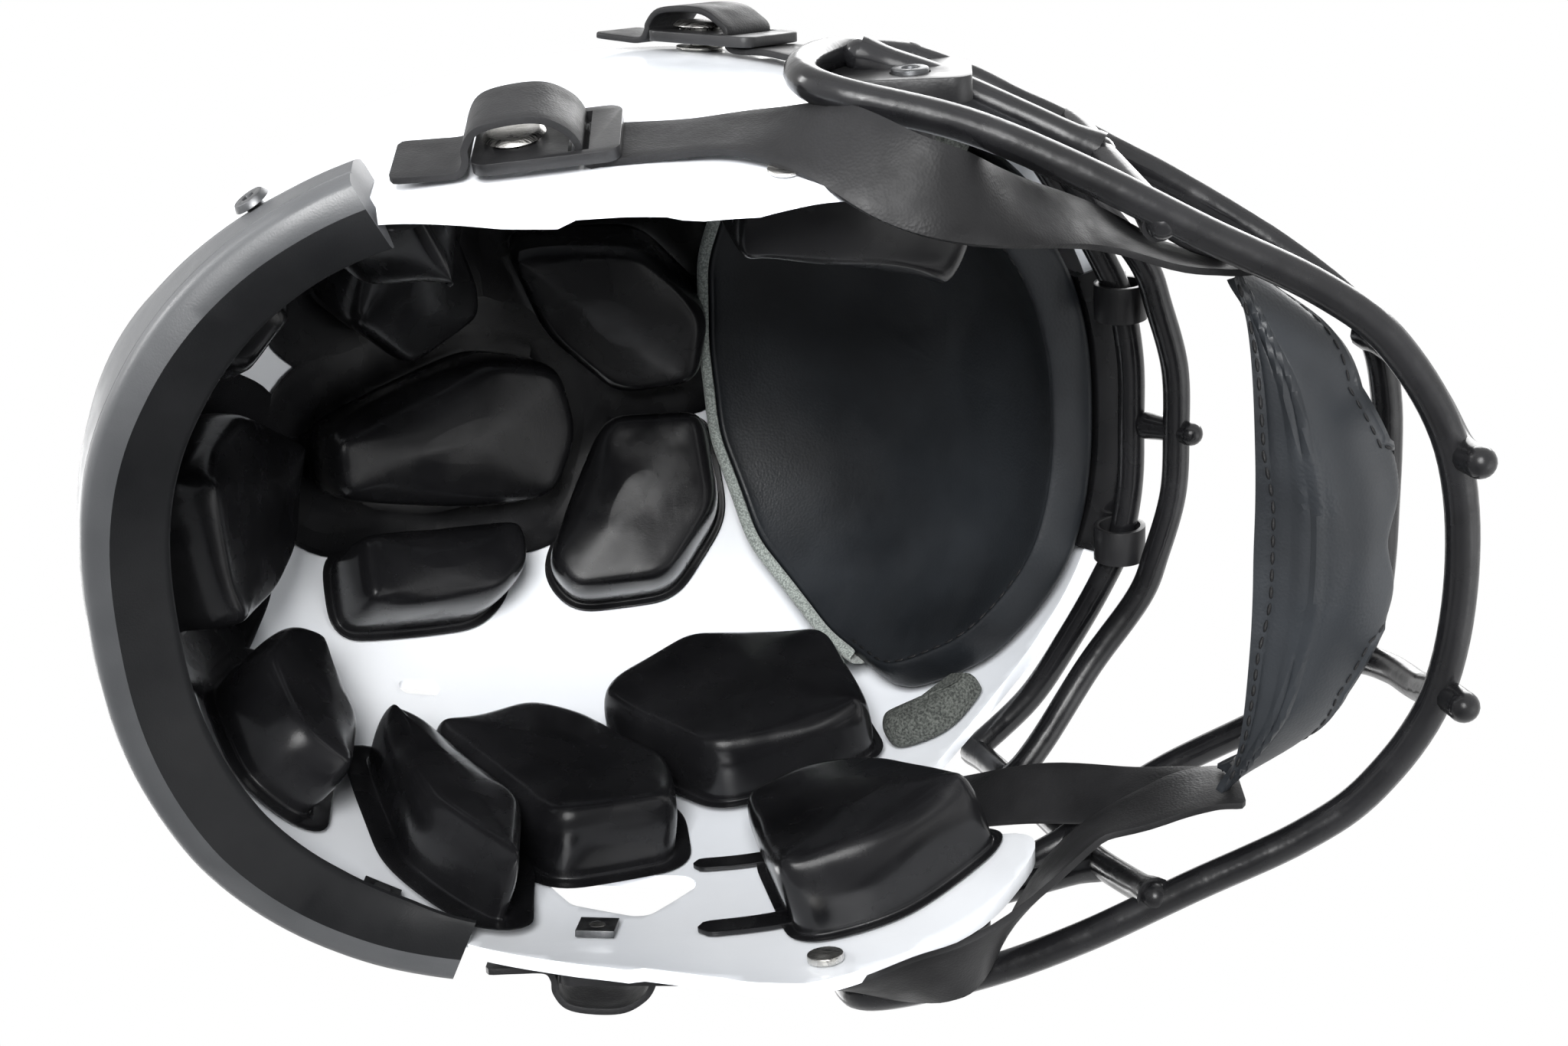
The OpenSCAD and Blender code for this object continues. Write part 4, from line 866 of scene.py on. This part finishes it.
def strap_turn(axes, arch):
    line = [(TAIL_TURN - 19, TAIL_HEIGHT + 0.4), (TAIL_TURN - 10, TAIL_HEIGHT),
            (TAIL_TURN - 2.4, TAIL_HEIGHT), (TAIL_TURN, TAIL_HEIGHT + 2.6),
            (TAIL_TURN + 0.6, 0.62 * arch), (TAIL_TURN + 4, 0.9 * arch),
            (0, arch), (8, 0.97 * arch), (13.6, 0.74 * arch), (16, SLOT_HEIGHT + 2.6), (16, SLOT_HEIGHT),
            (17.4, STRAP_UNDER + 0.6), (21, STRAP_UNDER)]
    return [axes[0] + axes[2] * y + axes[3] * z for y, z in line]


def to_side(points, side):
    return [Vector((side * p[0], p[1], p[2])) for p in points]


strap_hide, tree, shader = new_material("matte_strap_leatherette", (0.01, 0.01, 0.011), 0.5,
                                        Specular_IOR_Level=0.22)
coloured(tree, shader, noise_at(tree, 30, 5).outputs["Fac"], (0.007, 0.007, 0.0075), (0.018, 0.018, 0.019))
roughened(tree, shader, noise_at(tree, 70, 5).outputs["Fac"], 0.42, 0.66)
pores = cells_at(tree, 1300)
crease = raised(tree, shader, pores.outputs["Distance"], 0.2, 0.0003)
raised(tree, shader, noise_at(tree, 60, 3).outputs["Fac"], 0.15, 0.0008, crease)
# the straps' paths on the shell: place and lift off it; then their free ends and which way these face
UPPER_WALL = [(-46, 127.5, 1.8), (-58, 120.5, 1.8), (-68, 114, 1.8)]
UPPER_FREE = [(106, -88, 101), (95, -112, 86), (87, -136, 69.5), (79.6, -153, 58.5), (78.2, -162, 55)]
UPPER_FACES = [(0.9, -0.35, 0.2), (0.87, -0.4, 0.3), (0.9, -0.4, 0.15), (0.95, -0.3, 0), (1, 0, 0)]
LOWER_WALL = [(-26, 31, 0.6), (-44, 26.5, 3.2), (-62, 17, 5.6), (-80, 9.5, 2.8), (-96, 14, 1.8)]
LOWER_TILT = (0, 0.15, 0.9, 2.2, 1.5)
LOWER_FREE = [(88.5, -123, 46.5), (78.6, -144, 49), (75.5, -157, 51.5), (75.4, -167, 52)]
LOWER_FACES = [(0.9, -0.4, -0.3), (0.92, -0.4, 0), (1, 0, 0), (1, 0, 0)]
for word, side in (("left", 1), ("right", -1)):
    axes = wall_axes(side_point(side, -20, 142), side_point(side, -60, 119))
    wall = [side_point(side, y, z, -STRAP_UNDER - lift) for y, z, lift in UPPER_WALL]
    path = strap_turn(axes, UPPER_ARCH) + wall + to_side(UPPER_FREE, side)
    faces = strap_faces(axes) + [shell_out(p) for p in wall] + to_side(UPPER_FACES, side)
    strap = ribbon("upper_strap_%s_hide" % word, path, faces)
    finish_of(strap, strap_hide)
    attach(strap, "helmet")
    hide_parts("upper_strap_" + word)
    axes = wall_axes(side_point(side, 14, 32), side_point(side, -40, 36))
    wall = [side_point(side, y, z, -STRAP_UNDER - lift) for y, z, lift in LOWER_WALL]
    tilted = [(shell_out(p) - Vector((0, 0, tilt))).normalized() for p, tilt in zip(wall, LOWER_TILT)]
    path = strap_turn(axes, LOWER_ARCH) + wall + to_side(LOWER_FREE, side)
    faces = strap_faces(axes) + tilted + to_side(LOWER_FACES, side)
    strap = ribbon("lower_strap_%s_hide" % word, path, faces)
    finish_of(strap, strap_hide)
    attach(strap, "helmet")
    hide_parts("lower_strap_" + word)

# Jaw pad tongues: two flat vinyl tabs that run back from each jaw pad along the inside of the shell. Each
# is one strip with a round tip, laid along the shell's inner face and thickened.
TONGUES = (((114.6, -30, 81.6), (114.6, -8.4, 78.4), 6.5), ((111.4, -40, 42.5), (109.7, -14.5, 34.8), 9.0))
for word, side in (("left", 1), ("right", -1)):
    for number, (root, tip, width) in enumerate(TONGUES):
        start, end = Vector((side * root[0], *root[1:])), Vector((side * tip[0], *tip[1:]))
        line = [on_shell(start.lerp(end, k / 12), PAD_BASE + 0.8) for k in range(13)]
        outs = [shell_out(p) for p in line]
        rows = []
        for p, out in zip(line, outs):
            into_tip = 1 - min(1, (p - line[-1]).length / (width / 2))
            half = width / 2 * math.sqrt(max(0.02, 1 - into_tip**2))
            across = (line[-1] - line[0]).normalized().cross(out)
            rows.append([placed(p + across * (half * (j / 3 - 1))) for j in range(7)])
        tongue = bent_sheet("jaw_pad_tongue_%s_%d" % (word, number), rows)
        with_modifier(tongue, "SOLIDIFY", thickness=0.0014, offset=0)
        edit(tongue, outward)
        rounded(tongue, 0.0004, 2, 50)
        smoothed(tongue, 45)
        finish_of(tongue, pad_vinyl)
        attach(tongue, "helmet")

# Face mask: round steel wire bars, bent, welded and dipped in black vinyl. Each bar is a curve swept
# with a round section, a little thicker where it is welded to its neighbour, with domed free ends.
BAR = 8.2
CHIN_BAR = 8.6
SWELL_REACH = 0.005
# each bar: its points, its diameter, whether both halves are made from them, and how much its ends swell
MASK_BARS = {
    "chin_bar": (
        [(0, -216.5, 23.5), (34, -212, 23), (60, -197.5, 24), (75, -179.5, 24), (90, -151, 24),
         (106, -121.5, 24.5), (118, -94.5, 26), (126, -65.5, 27.5), (128.8, -56, 37), (129, -56.5, 58),
         (127.5, -65, 76), (124.5, -81.5, 82)], CHIN_BAR, True, 0, 0),
    "middle_bar": (
        [(0, -207.5, 76.5), (30, -206.5, 77), (50, -200.5, 78.5), (68, -181, 82), (87, -151.5, 87),
         (99, -131.5, 84), (107, -119.5, 79), (113, -108, 77.5), (119, -96.5, 79), (124.5, -81.5, 82)],
        BAR, True, 0, 0),
    "brow_bar": (
        [(0, -144.2, 145.5), (20, -143.9, 145.5), (39, -140.8, 145.5), (52, -135.5, 145.3),
         (70, -125.8, 144.5), (91, -112, 142), (107.8, -93.8, 138.5)], BAR, True, 0, 0),
    "second_bar": (
        [(0, -157, 137.2), (20, -156.3, 137), (39, -151.4, 136), (54, -146, 135.8), (75, -130.5, 131.5),
         (95, -115.5, 121), (107, -104.5, 113.5)], BAR, True, 0, 0.3),
    "centre_strut": ([(0, -148.5, 143.5), (0, -156, 138), (0, -161, 134)], BAR - 1, False, 0.2, 0)}
PAIRED_BARS = {
    "side_strut_": (
        [(93, -141, 24), (102, -129, 56.5), (106.8, -121, 80.5), (107, -106, 113), (107.8, -93.8, 138.5)],
        0.3, 0.2),
    "side_rail_": ([(103, -128.5, 58.5), (113, -107, 64), (121.5, -87.5, 68), (128, -68.5, 70)], 0.3, 0.3),
    "front_strut_": (
        [(33, -217, 15), (33.5, -214, 24), (39.5, -211.5, 40), (44, -208.5, 60), (48, -201.3, 78.5)],
        0, 0.35)}
for word, side in (("left", 1), ("right", -1)):
    for name, (points, start_swell, end_swell) in PAIRED_BARS.items():
        MASK_BARS[name + word] = (to_side(points, side), BAR, False, start_swell, end_swell)


def dipped_bar(name, points, diameter, start_swell, end_swell):
    line = [placed(p) for p in smooth_line(points, 8)]
    bpy.ops.object.select_all(action="DESELECT")
    bpy.ops.curve.primitive_bezier_curve_add()
    bar = bpy.context.object
    bar.name = name
    curve = bar.data
    curve.splines.clear()
    spline = curve.splines.new("POLY")
    spline.points.add(len(line) - 1)
    run = [0.0]
    for a, b in zip(line, line[1:]):
        run.append(run[-1] + (b - a).length)
    for point, p, s in zip(spline.points, line, run):
        point.co = (*p, 1)
        at_start, at_end = (math.exp(-(d / SWELL_REACH) ** 2) for d in (s, run[-1] - s))
        point.radius = 1 + start_swell * at_start + end_swell * at_end
    curve.dimensions = "3D"
    curve.bevel_depth = diameter / 2000
    curve.bevel_resolution = 5
    curve.use_fill_caps = True
    bpy.ops.object.convert(target="MESH")
    bar = bpy.context.object
    for p in (line[0], line[-1]):
        bpy.ops.mesh.primitive_uv_sphere_add(segments=20, ring_count=12, radius=diameter / 2000 * 1.02,
                                             location=p)
        bpy.ops.object.transform_apply(location=True, rotation=True, scale=True)
        knob = bpy.context.object
        active(bar)
        knob.select_set(True)
        bpy.ops.object.join()
    bar.name = bar.data.name = name
    edit(bar, merge_doubles, outward)
    return smoothed(bar, 50)


vinyl_dip, tree, shader = new_material("black_vinyl_dip", (0.005, 0.005, 0.006), 0.24, Coat_Weight=0.2,
                                       Coat_Roughness=0.1, Specular_IOR_Level=0.38)
coloured(tree, shader, noise_at(tree, 35, 5).outputs["Fac"], (0.0035, 0.0035, 0.004), (0.009, 0.009, 0.01))
roughened(tree, shader, noise_at(tree, 90, 5).outputs["Fac"], 0.18, 0.34)
sag = raised(tree, shader, noise_at(tree, 170, 2).outputs["Fac"], 0.22, 0.0012)
raised(tree, shader, noise_at(tree, 900, 2).outputs["Fac"], 0.1, 0.0002, sag)
for node, (points, diameter, mirrored, start_swell, end_swell) in MASK_BARS.items():
    bar = dipped_bar(node + "_wire", both_sides(points) if mirrored else points, diameter,
                     end_swell if mirrored else start_swell, end_swell)
    finish_of(bar, vinyl_dip)
    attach(bar, "facemask")
    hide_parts(node)


# Mask fixings and small hardware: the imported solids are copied, their points merged and their edges
# rounded, then each gets the finish of the real part.
def finished_copy(node, name, bevel):
    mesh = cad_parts[node].data.copy()
    made = bpy.data.objects.new(name, mesh)
    bpy.context.collection.objects.link(made)
    mesh.name = name
    edit(made, merge_doubles, lambda: bpy.ops.mesh.dissolve_limited(angle_limit=math.radians(1)), outward)
    rounded(made, bevel, 2, 38)
    return smoothed(made, 34)


clip_plastic, tree, shader = new_material("black_clip_nylon", (0.008, 0.008, 0.009), 0.34,
                                          Specular_IOR_Level=0.38)
coloured(tree, shader, noise_at(tree, 40, 5).outputs["Fac"], (0.006, 0.006, 0.0065), (0.015, 0.015, 0.016))
roughened(tree, shader, noise_at(tree, 85, 5).outputs["Fac"], 0.28, 0.48)
raised(tree, shader, noise_at(tree, 1200, 2).outputs["Fac"], 0.18, 0.0002)
nickel, tree, shader = new_material("nickel_snap", (0.62, 0.61, 0.58), 0.28, Metallic=1.0)
brushed = tree.nodes.new("ShaderNodeMapping")
brushed.inputs["Scale"].default_value = (1, 1, 14)
tree.links.new(on_object(tree), brushed.inputs["Vector"])
lines = noise_at(tree, 260, 4, brushed.outputs["Vector"])
roughened(tree, shader, lines.outputs["Fac"], 0.2, 0.42)
coloured(tree, shader, noise_at(tree, 120, 4).outputs["Fac"], (0.5, 0.49, 0.46), (0.7, 0.69, 0.67))
raised(tree, shader, lines.outputs["Fac"], 0.08, 0.0001)
dark_steel, tree, shader = new_material("dark_zinc_steel", (0.09, 0.092, 0.095), 0.42, Metallic=0.9)
coloured(tree, shader, noise_at(tree, 180, 5).outputs["Fac"], (0.05, 0.052, 0.055), (0.16, 0.162, 0.166))
raised(tree, shader, noise_at(tree, 700, 3).outputs["Fac"], 0.15, 0.0002)
valve_rubber, tree, shader = new_material("valve_rubber", (0.02, 0.02, 0.021), 0.7)
coloured(tree, shader, noise_at(tree, 200, 4).outputs["Fac"], (0.014, 0.014, 0.015), (0.035, 0.035, 0.037))
raised(tree, shader, noise_at(tree, 1400, 2).outputs["Fac"], 0.3, 0.0002)
HARDWARE = (
    ("side_clip_left", 0.0012, clip_plastic, "facemask", "clip_plastic"),
    ("side_clip_right", 0.0012, clip_plastic, "facemask", "clip_plastic"),
    ("release_button_left", 0.0005, dark_steel, "release_left", "clip_plastic"),
    ("release_button_right", 0.0005, dark_steel, "release_right", "clip_plastic"),
    ("clip_sockets", 0.0004, clip_plastic, "helmet", "clip_plastic"),
    ("brow_clips", 0.0006, clip_plastic, "helmet", "clip_plastic"),
    ("brow_screws", 0.0004, dark_steel, "helmet", "snap_nickel"),
    ("upper_buckles", 0.0006, clip_plastic, "helmet", "clip_plastic"),
    ("lower_buckles", 0.0006, clip_plastic, "helmet", "clip_plastic"),
    ("snap_caps", 0.0004, nickel, "helmet", "snap_nickel"),
    ("strap_studs", 0.0003, nickel, "helmet", "snap_nickel"),
    ("jaw_snaps", 0.0003, nickel, "helmet", "snap_nickel"),
    ("stud_nuts", 0.0004, dark_steel, "helmet", "steel_dark"),
    ("bumper_screws", 0.0004, dark_steel, "helmet", "steel_dark"),
    ("valves", 0.0003, valve_rubber, "helmet", "valve_rubber"))
for node, bevel, material, body, slot in HARDWARE:
    piece = finish_of(finished_copy(node, node + "_part", bevel), material)
    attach(piece, body)
    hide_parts(node)

# Floor: a plain pale table that the helmet stands on. It is solid from above and clear from below, so
# the helmet can also be seen and lit from under it, and it keeps the helmet's shadow.
bpy.ops.mesh.primitive_plane_add(size=6, location=(0, 0, -0.0002))
floor = bpy.context.object
floor.name = floor.data.name = "pale_table"
table_top = bpy.data.materials.new("pale_table_top")
table_top.use_nodes = True
tree = table_top.node_tree
shader = tree.nodes["Principled BSDF"]
shader.inputs["Base Color"].default_value = (0.86, 0.86, 0.86, 1)
shader.inputs["Roughness"].default_value = 0.8
side_seen, rays = tree.nodes.new("ShaderNodeNewGeometry"), tree.nodes.new("ShaderNodeLightPath")
either = tree.nodes.new("ShaderNodeMath")
either.operation = "MAXIMUM"
tree.links.new(side_seen.outputs["Backfacing"], either.inputs[0])
tree.links.new(rays.outputs["Is Shadow Ray"], either.inputs[1])
clear, mix = tree.nodes.new("ShaderNodeBsdfTransparent"), tree.nodes.new("ShaderNodeMixShader")
tree.links.new(either.outputs["Value"], mix.inputs["Fac"])
tree.links.new(shader.outputs["BSDF"], mix.inputs[1])
tree.links.new(clear.outputs["BSDF"], mix.inputs[2])
tree.links.new(mix.outputs["Shader"], tree.nodes["Material Output"].inputs["Surface"])
finish_of(floor, table_top)

# Light: a white surround that shows white to the camera and in gloss, and large soft lamps above the
# table and on the camera's side.
world = bpy.data.worlds.new("studio")
bpy.context.scene.world = world
world.use_nodes = True
tree = world.node_tree
surround = tree.nodes["Background"]
surround.inputs["Color"].default_value = (0.95, 0.97, 1.0, 1)
surround.inputs["Strength"].default_value = 0.45
white = tree.nodes.new("ShaderNodeBackground")
white.inputs["Color"].default_value = (1, 1, 1, 1)
rays, mix = tree.nodes.new("ShaderNodeLightPath"), tree.nodes.new("ShaderNodeMixShader")
clear_or_seen, any_of = tree.nodes.new("ShaderNodeMath"), tree.nodes.new("ShaderNodeMath")
clear_or_seen.operation = any_of.operation = "MAXIMUM"
tree.links.new(rays.outputs["Is Camera Ray"], clear_or_seen.inputs[0])
tree.links.new(rays.outputs["Is Transmission Ray"], clear_or_seen.inputs[1])
tree.links.new(clear_or_seen.outputs["Value"], any_of.inputs[0])
tree.links.new(rays.outputs["Is Glossy Ray"], any_of.inputs[1])
tree.links.new(any_of.outputs["Value"], mix.inputs["Fac"])
tree.links.new(surround.outputs["Background"], mix.inputs[1])
tree.links.new(white.outputs["Background"], mix.inputs[2])
tree.links.new(mix.outputs["Shader"], tree.nodes["World Output"].inputs["Surface"])
LAMP_AIM = Vector((0, 0, 0.12))
LAMPS = (
    ("camera_side_softbox", (-0.70, -0.02, -0.98), 0.4, 28),
    ("front_softbox", (0.2, -1.3, -0.6), 0.7, 12),
    ("top_softbox", (-0.5, -0.5, 1.5), 1.2, 22),
    ("rear_softbox", (0.7, 1.1, 0.9), 1.0, 12),
    ("low_rear_softbox", (-0.75, 1.2, 0.0), 0.6, 14))
for name, place, size, watts in LAMPS:
    bpy.ops.object.light_add(type="AREA", location=place)
    lamp = bpy.context.object
    lamp.name = name
    lamp.data.shape = "SQUARE"
    lamp.data.size = size
    lamp.data.energy = watts
    lamp.rotation_euler = (LAMP_AIM - Vector(place)).to_track_quat("-Z", "Y").to_euler()

# Camera: below the table's level and on the wearer's right side, looking up into the helmet. Its place and
# its three directions were solved from the photograph.
CAMERA_PLACE = (-0.22309, -0.05578, -0.49059)
CAMERA_RIGHT = (0.0536, -0.9965, 0.0638)
CAMERA_TOP = (-0.9281, -0.0261, 0.3715)
CAMERA_AHEAD = (0.3685, 0.0791, 0.9262)
bpy.ops.object.camera_add()
camera = bpy.context.object
bpy.context.scene.camera = camera
to_right, to_top, ahead = (Vector(v).normalized() for v in (CAMERA_RIGHT, CAMERA_TOP, CAMERA_AHEAD))
turned = Matrix((to_right, to_top, -ahead)).transposed().to_4x4()
camera.matrix_world = Matrix.Translation(CAMERA_PLACE) @ turned
camera.data.lens = 50.05
camera.data.sensor_width = 36
camera.data.clip_start = 0.01
bpy.context.scene.view_settings.view_transform = "Standard"
